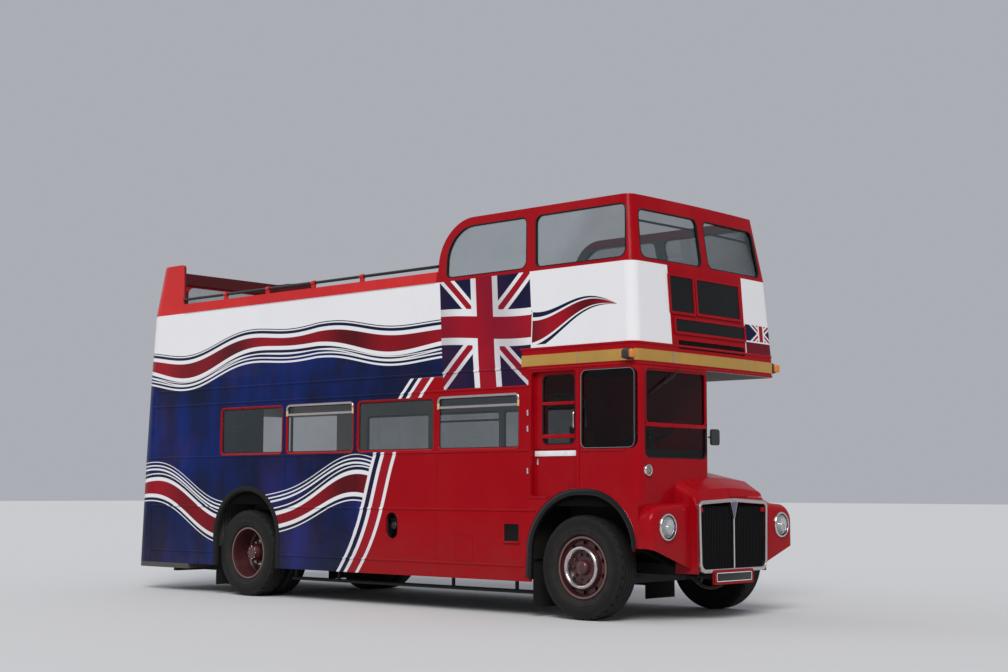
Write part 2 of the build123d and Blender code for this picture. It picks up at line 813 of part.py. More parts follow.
LOWER_SEATS_X = [-1420.0 - i * SEAT_PITCH for i in range(5)]
UPPER_SEATS_NEAR_X = [-120.0 - i * SEAT_PITCH for i in range(9)]
UPPER_SEATS_OFF_X = [-120.0 - i * SEAT_PITCH for i in range(8)]
LOWER_SEAT_Y = 680.0
UPPER_SEAT_Y = 680.0


def seats(maker):
    lower = [maker(x, side * LOWER_SEAT_Y, FLOOR_TOP) for x in LOWER_SEATS_X for side in (-1, 1)]
    deck = DECK_Z + DECK_THICKNESS
    upper = [maker(x, UPPER_SEAT_Y, deck) for x in UPPER_SEATS_NEAR_X]
    upper += [maker(x, -UPPER_SEAT_Y, deck) for x in UPPER_SEATS_OFF_X]
    return lower, upper


def bench_pads():
    """Long seats over the rear wheels, facing the gangway."""
    pad = block((-5720, -4530), (-INNER_HALF + 90, -WHEEL_BOX_Y), (WHEEL_BOX_TOP, WHEEL_BOX_TOP + 90))
    back = block((-5720, -4530), (-INNER_HALF + 4, -INNER_HALF + 90), (WHEEL_BOX_TOP, WHEEL_BOX_TOP + 480))
    return both_sides(pad + back)


DRIVER_Y = -600.0


def driver_seat():
    floor = CAB_FLOOR_Z + CAB_FLOOR_THICKNESS
    y_range = (DRIVER_Y - 230, DRIVER_Y + 230)
    pad = outline(
        (-440, floor + 330, 20),
        (30, floor + 350, 40),
        (30, floor + 440, 40),
        (-440, floor + 420, 20),
    )
    back = rounded_box_face((-500, -420), (floor + 330, floor + 800), 30)
    post = block((-330, -90), (DRIVER_Y - 120, DRIVER_Y + 120), (floor, floor + 350))
    return side_prism(pad, *y_range) + side_prism(back, *y_range) + post


WHEEL_CENTRE = (385.0, DRIVER_Y, 1790.0)
COLUMN_TILT = 18.0
STEER_R = 235.0


def column_point(along):
    """A point on the steering column's line, measured down from the wheel's centre."""
    x, y, z = WHEEL_CENTRE
    lean = math.radians(COLUMN_TILT)
    return (x + along * math.sin(lean), y, z - along * math.cos(lean))


def steering_wheel():
    lean = math.radians(COLUMN_TILT)
    plane = Plane(origin=WHEEL_CENTRE, x_dir=(0, 1, 0), z_dir=(-math.sin(lean), 0, math.cos(lean)))
    rim = plane * Torus(STEER_R, 14)
    hub = rod(column_point(60), column_point(-16), 38)
    hub = hub - rod(column_point(70), column_point(20), 19.5)
    spokes = []
    for turn in (90, 210, 330):
        spoke = Pos(STEER_R / 2 + 12, 0, -6) * Box(STEER_R - 40, 26, 10)
        spokes.append(plane * (Rot(0, 0, turn) * spoke))
    return joined([hub, rim] + spokes)


def dashboard():
    floor = CAB_FLOOR_Z + CAB_FLOOR_THICKNESS
    profile = outline(
        (560, 1330, 0),
        (CAB_FRONT_X - WALL, 1300, 0),
        (CAB_FRONT_X - WALL, 1540, 0),
        (600, 1540, 40),
        (540, 1460, 30),
    )
    panel = side_prism(profile, -1150, -110) & plan_prism(cab_plan(WALL), 1200, 1600)
    column = rod(column_point(24), column_point(740), 19) & block((0, 1000), (-900, 0), (floor, 2000))
    binnacle = block((500, 560), (DRIVER_Y - 150, DRIVER_Y + 150), (1400, 1500))
    return joined([panel, binnacle, column])


RAIL_Y = 1148.0
RAIL_Z = 3634.0
RAIL_POSTS = (-5674, -4870, -4042, -3214)


def upper_rails():
    """Dark tube above each side, held by short brackets on the red cant rail."""
    tube = rod((-6535, -RAIL_Y, RAIL_Z), (HOOP_REAR_X - 7, -RAIL_Y, RAIL_Z), 17)
    for x in RAIL_POSTS:
        tube = tube + block((x - 14, x + 14), (-RAIL_Y - 9, -RAIL_Y + 9), (CANT_RAIL_TOP, RAIL_Z))
    front = rod((604, -1060, 3873), (604, 1060, 3873), 14)
    front = front & envelope(3700, 4000, WALL)
    return both_sides(tube) + [front]


def ceiling_rails():
    """Tubes under the lower saloon's ceiling, on short drops."""
    tube = rod((-6150, -330, 2350), (-760, -330, 2350), 13)
    for x in (-5900, -4800, -3700, -2600, -1500):
        tube = tube + rod((x, -330, 2350), (x, -330, DECK_Z), 9)
    return both_sides(tube)


def platform_poles():
    """The corner pole of the open platform and the pole at the saloon's entrance."""
    corner = rod((-7190, 1060, SKIRT_Z), (-7190, 1060, DECK_Z), 18)
    entrance = rod((-6260, 420, SKIRT_Z), (-6260, 420, DECK_Z), 18)
    return [corner, entrance]


# Running gear

SIDE_MEMBER_Y = 430.0


MEMBER_Z = (430.0, 540.0)
BEARER_Z = (540.0, 570.0)
BEARERS_X = (-1000, -1900, -2800, -3700, -4440, -5830)


SIDE_MEMBER = outline(
    (PLATFORM_X + 30, MEMBER_Z[0], 0),
    (-5520, MEMBER_Z[0], 60),
    (-5380, 596, 60),
    (-4880, 596, 60),
    (-4740, MEMBER_Z[0], 60),
    (800, MEMBER_Z[0], 0),
    (800, MEMBER_Z[1], 0),
    (-4800, MEMBER_Z[1], 60),
    (-4930, 692, 60),
    (-5330, 692, 60),
    (-5460, MEMBER_Z[1], 60),
    (PLATFORM_X + 30, MEMBER_Z[1], 0),
)
TOW_EYE_X = 850.0
TOW_EYE_R = 20.0


def tow_eye():
    """Lug ahead of a side member, bored crosswise for a towing pin."""
    z_low, z_high = MEMBER_Z[0] - 62, MEMBER_Z[0] + 10
    cheek = side_prism(rounded_box_face((795, TOW_EYE_X + 36), (z_low, z_high), 30), -442, -418)
    bore_z = MEMBER_Z[0] - 26
    return cheek - rod((TOW_EYE_X, -460, bore_z), (TOW_EYE_X, -400, bore_z), TOW_EYE_R)


def underframe():
    """Two long members, the cross bearers under the floor, the platform's carriers and the nose beam."""
    platform_z = (SKIRT_Z - PLATFORM_THICKNESS - 60, SKIRT_Z - PLATFORM_THICKNESS)
    pieces = []
    for side in (-1, 1):
        y_range = sorted((side * (SIDE_MEMBER_Y - 35), side * (SIDE_MEMBER_Y + 35)))
        pieces.append(side_prism(SIDE_MEMBER, *y_range))
        pieces.append(block((-7000, PLATFORM_X + 30), y_range, platform_z))
        pieces.append(block((PLATFORM_X + 30, PLATFORM_X + 90), y_range, (platform_z[0], MEMBER_Z[0])))
    pieces += [block((x - 30, x + 30), (-INNER_HALF, INNER_HALF), BEARER_Z) for x in BEARERS_X]
    pieces.append(block((-6960, -6900), (-900, 900), platform_z))
    pieces.append(block((760, 820), (-520, 520), (MEMBER_Z[0] - 30, MEMBER_Z[0])))
    pieces += both_sides(tow_eye())
    return [joined(pieces)]


EYE_Z = (455.0, 555.0)


def front_suspension():
    """Cross beam, wishbones and the uprights that hold the kingpins."""
    beam = block((-70, 70), (-430, 430), (330, 430))
    pieces = [beam]
    for side in (-1, 1):
        for z, x_root in ((395, 190), (640, 120)):
            arm = outline(
                (x_root, side * 400, 0),
                (45, side * 850, 0),
                (-45, side * 850, 0),
                (-x_root, side * 400, 0),
            )
            pieces.append(plan_prism(arm, z - 16, z + 16))
        tower = block((-60, 60), sorted((side * 395, side * 465)), (MEMBER_Z[1], 700))
        upright = block((-42, 42), sorted((side * 828, side * 850)), (379, 656))
        neck = block((-34, 34), sorted((side * 840, side * KINGPIN_Y)), EYE_Z)
        eye = rod((0, side * KINGPIN_Y, EYE_Z[0]), (0, side * KINGPIN_Y, EYE_Z[1]), 38)
        pieces += [tower, upright, neck, eye]
    whole = joined(pieces)
    for side in (-1, 1):
        whole = whole - rod((0, side * KINGPIN_Y, 300), (0, side * KINGPIN_Y, 800), KINGPIN_R + RUNNING_GAP)
    return whole


def knuckle():
    """Fork on the kingpin, brake drum and stub axle of the offside front wheel."""
    y = -KINGPIN_Y
    pin = rod((0, y, 400), (0, y, 610), KINGPIN_R)
    forks = [block((-30, 30), (-960, y + 30), (z, z + 38)) for z in (410, 562)]
    plate = block((-60, 60), (-970, -952), (400, 610))
    drum = rod((0, -1060, TYRE_R), (0, -962, TYRE_R), 205)
    stub = rod((0, -1150, TYRE_R), (0, -1050, TYRE_R), STUB_R)
    return joined([pin, plate, drum, stub] + forks)


def rear_axle():
    tube = rod((REAR_AXLE_X, -640, TYRE_R), (REAR_AXLE_X, 640, TYRE_R), 62)
    diff = Pos(REAR_AXLE_X, 0, TYRE_R) * Sphere(185)
    pinion = rod((REAR_AXLE_X, 0, TYRE_R), (REAR_AXLE_X + 310, 0, TYRE_R), 60)
    pieces = [tube, diff, pinion]
    for side in (-1, 1):
        pieces.append(rod((REAR_AXLE_X, side * 626, TYRE_R), (REAR_AXLE_X, side * 860, TYRE_R), 205))
        pieces.append(rod((REAR_AXLE_X, side * 850, TYRE_R), (REAR_AXLE_X, side * 1094, TYRE_R), STUB_R))
    return joined(pieces)


TYRE_PROFILE = (
    # radius, distance from the tyre's middle plane, corner radius
    (BEAD_R, -88, 0),
    (BEAD_R, 88, 0),
    (307, 89, 0),
    (322, 116, 0),
    (408, TYRE_WIDTH / 2, 60),
    (490, 118, 0),
    (TYRE_R, 92, 0),
    (TYRE_R, -92, 0),
    (490, -118, 0),
    (408, -TYRE_WIDTH / 2, 60),
    (322, -116, 0),
    (307, -89, 0),
)


def tyre(x, y_mid):
    return wheel_spin(outline(*[(r, -(y_mid + v), round_r) for r, v, round_r in TYRE_PROFILE]), x)


TYRE_MID_Y = TYRE_OUTER_Y - TYRE_WIDTH / 2
RIM_R = BEAD_R - 0.5
FLANGE_R = 303.0
RIM_FACE_Y = -(TYRE_MID_Y + 101)
FRONT_RIM_BACK = -(TYRE_MID_Y - 101)
REAR_RIM_BACK = FRONT_RIM_BACK + TWIN_SPACING
# Profiles of the offside wheels, as (radius, y, corner radius)
FRONT_RIM = (
    (RIM_R, FRONT_RIM_BACK + 11, 0),
    (FLANGE_R, FRONT_RIM_BACK + 11, 0),
    (FLANGE_R, FRONT_RIM_BACK, 0),
    (268, FRONT_RIM_BACK, 0),
    (262, -1086, 0),
    (232, -1096, 0),
    (190, -1120, 0),
    (100, -1128, 0),
    (90, -1075, 0),
    (STUB_R + RUNNING_GAP, -1075, 0),
    (STUB_R + RUNNING_GAP, -1160, 0),
    (0, -1160, 0),
    (0, -1192, 0),
    (58, -1192, 14),
    (74, -1140, 0),
    (172, -1134, 0),
    (186, -1178, 0),
    (200, -1182, 8),
    (210, -1172, 0),
    (214, -1128, 0),
    (250, -1108, 30),
    (272, -1140, 0),
    (280, RIM_FACE_Y, 0),
    (FLANGE_R, RIM_FACE_Y, 0),
    (FLANGE_R, RIM_FACE_Y + 11, 0),
    (RIM_R, RIM_FACE_Y + 11, 0),
)
REAR_RIM = (
    (RIM_R, REAR_RIM_BACK + 11, 0),
    (FLANGE_R, REAR_RIM_BACK + 11, 0),
    (FLANGE_R, REAR_RIM_BACK, 0),
    (268, REAR_RIM_BACK, 0),
    (262, -880, 0),
    (230, -892, 0),
    (STUB_R + RUNNING_GAP, -892, 0),
    (STUB_R + RUNNING_GAP, -1100, 0),
    (0, -1100, 0),
    (0, -1122, 0),
    (66, -1122, 14),
    (92, -1064, 0),
    (100, -960, 0),
    (180, -956, 0),
    (226, -938, 0),
    (262, -930, 18),
    (270, -1016, 0),
    (274, -1150, 0),
    (280, RIM_FACE_Y, 0),
    (FLANGE_R, RIM_FACE_Y, 0),
    (FLANGE_R, RIM_FACE_Y + 11, 0),
    (RIM_R, RIM_FACE_Y + 11, 0),
)
HAND_HOLES = 10
FRONT_HAND_HOLE = (238.0, 17.0)
REAR_HAND_HOLE = (204.0, 17.0)


def rim(profile, hand_hole, x):
    """One turned wheel centre with its rim, and the round holes through its disc."""
    whole = wheel_spin(outline(*[(r, -y, round_r) for r, y, round_r in profile]), x)
    pitch_r, hole_r = hand_hole
    for i in range(HAND_HOLES):
        turn = math.radians(360 / HAND_HOLES * (i + 0.5))
        hole_x = x + pitch_r * math.cos(turn)
        hole_z = TYRE_R + pitch_r * math.sin(turn)
        whole = whole - rod((hole_x, -1230, hole_z), (hole_x, -840, hole_z), hole_r)
    return whole


def power_unit():
    """Engine as one plain block between the front wheels, with its sump."""
    crank = block((-520, 560), (-230, 230), (440, 1050))
    sump = block((-440, -80), (-160, 160), (340, 440))
    return crank + sump


SHAFT_R = 34.0


def driveline():
    """Gearbox amidships with the shafts to and from it."""
    box = block((-2300, -1650), (-190, 190), (330, 500))
    front = rod((-1651, 0, 440), (-500, 0, 500), SHAFT_R) - power_unit()
    rear = rod((REAR_AXLE_X + 300, 0, TYRE_R), (-2299, 0, 440), SHAFT_R) - rear_axle()
    return [box + front + rear]


def fuel_tank():
    """Tank outboard of the side member."""
    return side_prism(rounded_box_face((-3050, -2250), (350, BEARER_Z[0]), 60), -1100, -560)


def exhaust():
    y, z = 290, 400
    pipe = rod((-500, y, z), (-5900, y, z), 28)
    silencer = rod((-3500, y, z), (-2700, y, z), 90)
    straps = [block((x - 12, x + 12), (y - 4, y + 4), (z, BEARER_Z[0])) for x in (-1000, -2800, -5830)]
    return joined([pipe, silencer] + straps)


def mud_flaps():
    flaps = []
    for x, y_in, y_out, z_low, z_high in ((-630, 650, 1175, 90, 570), (-5728, 625, 1175, 110, 570)):
        flaps += both_sides(block((x, x + 8), (-y_out, -y_in), (z_low, z_high)))
    return flaps


def side_guards():
    """Low tubes between the wheels, hung from the cross bearers."""
    tube = rod((-4500, -1000, 230), (-760, -1000, 230), 20)
    for x in (-1000, -1900, -3700, -4440):
        tube = tube + block((x - 15, x + 15), (-1012, -988), (230, BEARER_Z[0]))
    return both_sides(tube)


def mirrors():
    head = front_prism(rounded_box_face((-62, 78), (1700, 1860), 30), 730, 752)
    arm = rod((700, -50, 1780), (736, -20, 1780), 9)
    return [head + arm]


os.makedirs("parts", exist_ok=True)

side_wall = upper_side()
save("upper_side_offside", side_wall)
save("upper_side_nearside", across(side_wall))
save("upper_front", upper_front() + vent_slats())
save("sign_boxes", sign_boxes())
save("sign_glass", *sign_glass())
save("rear_upper", rear_upper())
save("upper_glass", *upper_glass())
save("upper_floor", upper_floor())
window_cutters = lower_window_cutters(*offside_slab)
offside_wall = lower_side(REAR_SEAM_X, window_cutters) - side_prism(FILLER, *offside_slab)
offside_wall = offside_wall - side_prism(SIDE_VENT, *offside_slab)
save("lower_side_offside", offside_wall + side_vent_blades())
save("lower_side_nearside", across(lower_side(PLATFORM_X, window_cutters)))
save("rear_lower", rear_lower())
save("rear_platform", rear_platform())
save("lower_floor", lower_floor())
save("staircase", staircase())
save("lower_glass", *lower_glass(), *bulkhead_glass(), *cab_glass())
save("front_bulkhead", bulkhead())
save("cab_shell", cab_shell())
save("cab_floor", cab_floor())
save("cab_door", cab_door())
save("cab_door_glass", cab_door_glass())
save("nose_cowl", nose_cowl())
save("bonnet_lid", bonnet_lid())
save("wing_offside", wing_nose())
save("wing_nearside", wing_nearside())
save("radiator_surround", radiator_surround())
save("radiator_grille", radiator_grille())
save("headlamps", *both_sides(headlamp()))
save("small_lamps", *small_lamps())
save("plate_holders", *number_plates())
lower_pads, upper_pads = seats(seat_pad)
lower_frames, upper_frames = seats(seat_frame)
save("lower_seat_pads", *lower_pads, *bench_pads())
save("upper_seat_pads", *upper_pads)
save("seat_frames", *lower_frames, *upper_frames)
save("driver_seat", driver_seat())
save("steering_wheel", steering_wheel())
save("dashboard", dashboard())
save("handrails", *upper_rails(), *ceiling_rails(), *platform_poles())
save("underframe", *underframe())
save("front_suspension", front_suspension())
offside_knuckle = knuckle()
save("knuckle_offside", offside_knuckle)
save("knuckle_nearside", across(offside_knuckle))
save("rear_axle", rear_axle())
front_tyre = tyre(0, -TYRE_MID_Y)
front_rim = rim(FRONT_RIM, FRONT_HAND_HOLE, 0)
rear_tyres = [tyre(REAR_AXLE_X, -TYRE_MID_Y), tyre(REAR_AXLE_X, -TYRE_MID_Y + TWIN_SPACING)]
rear_rim = rim(REAR_RIM, REAR_HAND_HOLE, REAR_AXLE_X)
for side, place in (("offside", lambda s: s), ("nearside", across)):
    save(f"front_tyre_{side}", place(front_tyre))
    save(f"front_rim_{side}", place(front_rim))
    save(f"rear_tyres_{side}", *[place(one) for one in rear_tyres])
    save(f"rear_rim_{side}", place(rear_rim))
save("power_unit", power_unit())
save("driveline", *driveline())
save("fuel_tank", fuel_tank())
save("exhaust", exhaust())
save("mud_flaps", *mud_flaps())
save("side_guards", *side_guards())
save("mirrors", *mirrors())
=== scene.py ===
import json
import math
import bmesh
import bpy
from mathutils import Matrix, Vector

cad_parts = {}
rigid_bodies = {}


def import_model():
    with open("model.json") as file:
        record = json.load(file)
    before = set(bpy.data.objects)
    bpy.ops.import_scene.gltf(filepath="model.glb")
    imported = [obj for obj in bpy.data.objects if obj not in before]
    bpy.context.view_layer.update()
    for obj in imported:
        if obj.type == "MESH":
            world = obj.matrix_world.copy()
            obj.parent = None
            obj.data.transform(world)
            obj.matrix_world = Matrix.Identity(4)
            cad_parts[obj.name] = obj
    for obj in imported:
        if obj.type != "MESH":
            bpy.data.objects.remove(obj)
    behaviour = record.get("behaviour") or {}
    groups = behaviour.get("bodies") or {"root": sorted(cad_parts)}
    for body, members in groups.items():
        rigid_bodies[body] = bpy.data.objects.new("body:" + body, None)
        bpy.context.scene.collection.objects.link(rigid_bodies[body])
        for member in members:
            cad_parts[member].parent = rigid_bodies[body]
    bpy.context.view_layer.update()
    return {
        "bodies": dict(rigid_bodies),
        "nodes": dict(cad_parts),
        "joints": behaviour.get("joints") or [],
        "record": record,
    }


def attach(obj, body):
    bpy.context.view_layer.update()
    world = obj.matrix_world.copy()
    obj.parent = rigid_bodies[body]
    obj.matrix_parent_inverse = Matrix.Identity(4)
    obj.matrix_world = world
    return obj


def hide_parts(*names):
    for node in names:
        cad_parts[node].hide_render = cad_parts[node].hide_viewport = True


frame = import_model()

# An open top double-decker bus. Lengths are metres. Places along the bus are measured forward
# from the front axle, as its makers do; AXLE_X carries them into the shared frame.
AXLE_X = 3.202
REAR_AXLE = -5.131
TYRE_R = 0.505
HALF_WIDTH = 1.219
KNEE_Z, WAIST_Z = 2.600, 3.461
GOLD_LOW, GOLD_HIGH = 2.485, 2.597
GOLD_END = -0.748
FRONT_PLANE, REAR_PLANE = 0.717, -7.325
FRONT_BOW = 0.028
BELT_Z = 1.645
HOOD_END = -2.02
VENT = ((-0.985, -0.776), (0.733, 0.918))

# Colours, as plain linear values
BUS_RED = (0.300, 0.0015, 0.006)
FADED_RED = (0.520, 0.022, 0.022)
NAVY = (0.005, 0.009, 0.038)
BLUE = (0.002, 0.020, 0.165)
RIBBON_RED = (0.290, 0.006, 0.016)
WHITE = (0.72, 0.72, 0.74)
GOLD = (0.55, 0.32, 0.075)
CREAM = (0.60, 0.52, 0.36)
BURGUNDY = (0.10, 0.018, 0.022)
MAROON = (0.125, 0.006, 0.014)
SLATE = (0.040, 0.052, 0.058)
DIRT = (0.060, 0.044, 0.036)
SOFT_EDGE = 0.003


class Wire:
    """A shader socket that adds maths nodes when it is used in an expression."""

    def __init__(self, paint, socket):
        self.paint = paint
        self.socket = socket

    def maths(self, operation, *others):
        made = self.paint.node("ShaderNodeMath", {"operation": operation}, [self, *others])
        return Wire(self.paint, made.outputs[0])

    def __add__(self, other):
        return self.maths("ADD", other)

    def __mul__(self, other):
        return self.maths("MULTIPLY", other)

    def __sub__(self, other):
        return self.maths("SUBTRACT", other)

    def __rsub__(self, other):
        return self * -1.0 + other

    def __abs__(self):
        return self.maths("ABSOLUTE")

    __radd__ = __add__
    __rmul__ = __mul__

    def sine(self):
        return self.maths("SINE")

    def root(self):
        return self.maths("SQRT")

    def most(self, other):
        return self.maths("MAXIMUM", other)

    def least(self, other):
        return self.maths("MINIMUM", other)

    def held(self):
        """The value kept between 0 and 1."""
        return Wire(self.paint, self.paint.node("ShaderNodeClamp", {}, [self]).outputs[0])

    def above(self, edge, blur=SOFT_EDGE):
        return ((self - edge) * (1.0 / blur) + 0.5).held()

    def below(self, edge, blur=SOFT_EDGE):
        return ((self - edge) * (-1.0 / blur) + 0.5).held()

    def between(self, low, high, blur=SOFT_EDGE):
        return self.above(low, blur) * self.below(high, blur)


class Paint:
    """One material, with the nodes that make its finish."""

    SOCKETS = {
        "metal": "Metallic", "coat": "Coat Weight", "coat_rough": "Coat Roughness", "alpha": "Alpha",
        "normal": "Normal", "ior": "IOR", "sheen": "Sheen Weight",
    }

    def __init__(self, name):
        self.material = bpy.data.materials.new(name)
        self.material.use_nodes = True
        self.tree = self.material.node_tree
        self.tree.nodes.clear()
        self.places = self.node("ShaderNodeTexCoord").outputs["Object"]

    def node(self, kind, settings=None, inputs=None):
        """Adds a node: settings first, then its sockets, in order or by name."""
        made = self.tree.nodes.new(kind)
        for key, value in (settings or {}).items():
            setattr(made, key, value)
        for key, value in inputs.items() if isinstance(inputs, dict) else enumerate(inputs or []):
            self.feed(made.inputs[key], value)
        return made

    def feed(self, socket, value):
        value = value.socket if isinstance(value, Wire) else value
        if isinstance(value, bpy.types.NodeSocket):
            self.tree.links.new(value, socket)
        elif isinstance(value, tuple) and socket.type == "RGBA":
            socket.default_value = (*value, 1.0)
        else:
            socket.default_value = value

    def place(self):
        """x from the front axle, y and z of the point."""
        parts = self.node("ShaderNodeSeparateXYZ", {}, [self.places])
        x, y, z = (Wire(self, out) for out in parts.outputs)
        return x - AXLE_X, y, z

    def noise(self, scale, detail=3.0, roughness=0.55, stretch=(1, 1, 1)):
        spot = self.node("ShaderNodeMapping", {}, {"Vector": self.places, "Scale": stretch})
        inputs = {"Vector": spot.outputs[0], "Scale": scale, "Detail": detail, "Roughness": roughness}
        return Wire(self, self.node("ShaderNodeTexNoise", {}, inputs).outputs[0])

    def slant(self, blend):
        """Low where the surface is seen square on, and 1 where it is seen edge on."""
        return Wire(self, self.node("ShaderNodeLayerWeight", {}, {"Blend": blend}).outputs["Fresnel"])

    def layers(self, colour, *rows):
        """Lays colours over one another. A row is where the colour shows, and the colour."""
        for share, top in rows:
            made = self.node("ShaderNodeMix", {"data_type": "RGBA"}, {"Factor": share, 6: colour, 7: top})
            colour = made.outputs[2]
        return colour

    def bump(self, height, strength, depth):
        made = self.node("ShaderNodeBump", {}, {"Height": height, "Strength": strength, "Distance": depth})
        return made.outputs[0]

    def surface(self, colour, rough, **more):
        """Ends the material in a Principled surface and returns the material."""
        inputs = {self.SOCKETS[key]: value for key, value in more.items()}
        inputs.update({"Base Color": colour, "Roughness": rough})
        shader = self.node("ShaderNodeBsdfPrincipled", {}, inputs)
        self.node("ShaderNodeOutputMaterial", {}, [shader.outputs[0]])
        return self.material


# Painted coachwork

def road_dirt(paint, colour, z):
    """Dust and spray that thicken towards the skirt."""
    grain = paint.noise(5.0, 6.0, 0.65, (1.0, 1.0, 2.2))
    share = ((z * -1.6 + 1.55).held() * (grain * 1.5 - 0.35).held() * 0.40).held()
    return paint.layers(colour, (share, DIRT)), share


def weathered(paint, colour, amount):
    """Slow, faint changes of shade, as on old polished paint."""
    patch = paint.noise(1.3, 4.0, 0.6)
    pale = paint.layers(colour, (amount, (0.62, 0.12, 0.12)))
    dark = paint.layers(colour, (amount * 1.6, (0.030, 0.002, 0.010)))
    return paint.layers(colour, ((patch * -2.4 + 1.25).held(), dark), ((patch * 2.4 - 1.15).held(), pale))


def polished(paint, shade, dirt, rough, ripple, depth, **coat):
    """Ends a coach paint: glossy over faint ripples, and dull where it is dirty."""
    normal = paint.bump(paint.noise(ripple, 2.0, 0.5), depth, 0.004)
    return paint.surface(shade, rough + dirt + paint.noise(14.0, 3.0) * 0.08, ior=1.12, normal=normal, **coat)


def gloss_red(name, colour=BUS_RED):
    """Red paint, with painted shade, near black, on whatever faces the engine and the front wheels."""
    paint = Paint(name)
    x, y, z = paint.place()
    shade, dirt = road_dirt(paint, weathered(paint, colour, 0.05), z)
    roof = y.below(0.0) * 0.067 + 1.098
    # Painted shade: inner faces under the cab and inside the front wheel housing are painted near black.
    shaded_housing = (abs(y) + y.above(0.0) * 0.10).below(1.195) * (z - roof).below(0.0) * x.between(-0.72, 0.652)
    shade = paint.layers(shade, (shaded_housing, (0.014, 0.013, 0.012)))
    return polished(paint, shade, dirt, 0.24, 2.2, 0.12, coat=0.13, coat_rough=0.05)


def flag_cross(paint, x, z):
    """A leaning flag, as a layer: red bars, upright, level and slanting, with white edges on blue."""
    along = (x + 1.27) + (z - 2.93) * 0.10
    rise = z - 2.93 - (x * 2.6 + 0.4).sine() * 0.035
    slant = abs(abs(along) * 0.92 - abs(rise))
    fold = ((along * 7.0 + rise * 2.0).sine() * 0.5 + 0.5).held() * 0.35
    flag = paint.layers(
        NAVY,
        (slant.below(0.105), WHITE),
        (slant.below(0.048), RIBBON_RED),
        (abs(rise).below(0.190).most(abs(along).below(0.190)), WHITE),
        (abs(rise).below(0.115).most(abs(along).below(0.115)), RIBBON_RED),
        (fold, (0.050, 0.008, 0.030)),
    )
    return abs(along).below(0.640, 0.006) * z.above(2.300, 0.006), flag


def ribbon(paint, x, z, middle, half, first):
    """The layers of a waving ribbon: a blue hem, white edges, folds of red, and three fine lines."""
    off = abs(z - middle) - half
    fold = ((x * 2.7 + 1.1).sine() * 0.6 + (x * 6.1).sine() * 0.4) * 0.5 + 0.45
    rows = [
        (off.below(0.105, 0.004), NAVY),
        (off.between(0.080, 0.094), WHITE),
        (off.below(0.046, 0.004), WHITE),
    ]
    rows.append((off.below(0.0, 0.004), paint.layers((0.080, 0.005, 0.008), (fold.held(), RIBBON_RED))))
    for i in range(3):
        rows.append((abs(z - middle - (first + i * 0.045)).below(0.011 - i * 0.003), WHITE))
    return rows


def streamer(paint, x, z):
    """The layers of a ribbon that leaves the flag and narrows to a point at the front corner."""
    taper = (x * -0.90 + 0.42).held()
    off = abs(z - 2.98 - (x * 4.4 + 1.0).sine() * 0.085 - x * 0.10)
    fold = ((x * 8.0 + 1.0).sine() * 0.5 + 0.4).held()
    red = paint.layers(RIBBON_RED, (fold, (0.085, 0.005, 0.008)))
    here = x.above(-0.62) * z.above(2.70) * taper.above(0.012)
    rows = ((0.205, NAVY), (0.150, WHITE), (0.115, red))
    return [((off - taper * width).below(0.0) * here, tone) for width, tone in rows]


SWEEP = (
    (-0.340, WHITE), (-0.290, NAVY), (-0.220, WHITE),
    (-0.165, RIBBON_RED), (-0.030, WHITE), (0.020, BUS_RED),
)


def side_livery(paint, x, z):
    """White above, blue below, with ribbons, fine lines, a flag and a red front quarter."""
    streak = paint.noise(2.4, 5.0, 0.62, (1.0, 1.0, 0.30))
    wide = paint.noise(0.7, 3.0)
    navy = paint.layers(NAVY, (((streak * 0.8 + wide * 0.8) * 2.6 - 1.86).held(), BLUE))
    calm = ((x + 1.9) * -0.5).held()
    upper = ((x * 1.30 + 0.9).sine() * 0.135 + (x * 3.3 + 0.2).sine() * 0.050) * calm + 2.885
    low = (x * 1.55 + 0.2).sine() * 0.250 + (x * 3.7 + 1.0).sine() * 0.045 + 1.030
    half = (x * 1.9 + 0.7).sine() * 0.022 + 0.070
    sweep = x + 2.62 - (z - 1.40) * 0.66 - ((z * 2.2 + 0.4).sine() * 0.16)
    lower = z.below(2.44)
    return paint.layers(
        navy,
        ((z - upper).above(0.0), WHITE),
        *ribbon(paint, x, z, upper, half, -0.235),
        *ribbon(paint, x, z, low, half * 1.15, 0.225),
        *[(sweep.above(edge) * lower, tone) for edge, tone in SWEEP],
        flag_cross(paint, x, z),
        (z.above(2.44) * x.above(-0.632), WHITE),
        *streamer(paint, x, z),
        (lower * x.above(-0.66), BUS_RED),
    )


def small_flag(paint, y, z, front):
    """The layers of a strip of the flag across the foot of the pavement side front panel."""
    along = abs(y - 0.965)
    rise = abs(z - 2.888)
    here = front * y.above(0.655)
    slant = abs(along * 0.55 - rise * 0.92 - 0.010)
    rows = (
        (slant, 0.034, WHITE), (slant, 0.013, RIBBON_RED),
        (along, 0.062, WHITE), (along, 0.036, RIBBON_RED),
    )
    flag = paint.layers(NAVY, *[(off.below(reach), tone) for off, reach, tone in rows])
    return [
        (here * z.between(2.788, 2.985), WHITE),
        (here * z.between(2.803, 2.973), flag),
        (here * z.below(2.788), MAROON),
    ]


def plan_reach(skin, end, radius):
    """How far a point lies outside the body's plan with its rounded corners."""
    across = (skin + radius).most(0.0)
    along = (end + radius).most(0.0)
    return (across * across + along * along).root() - radius


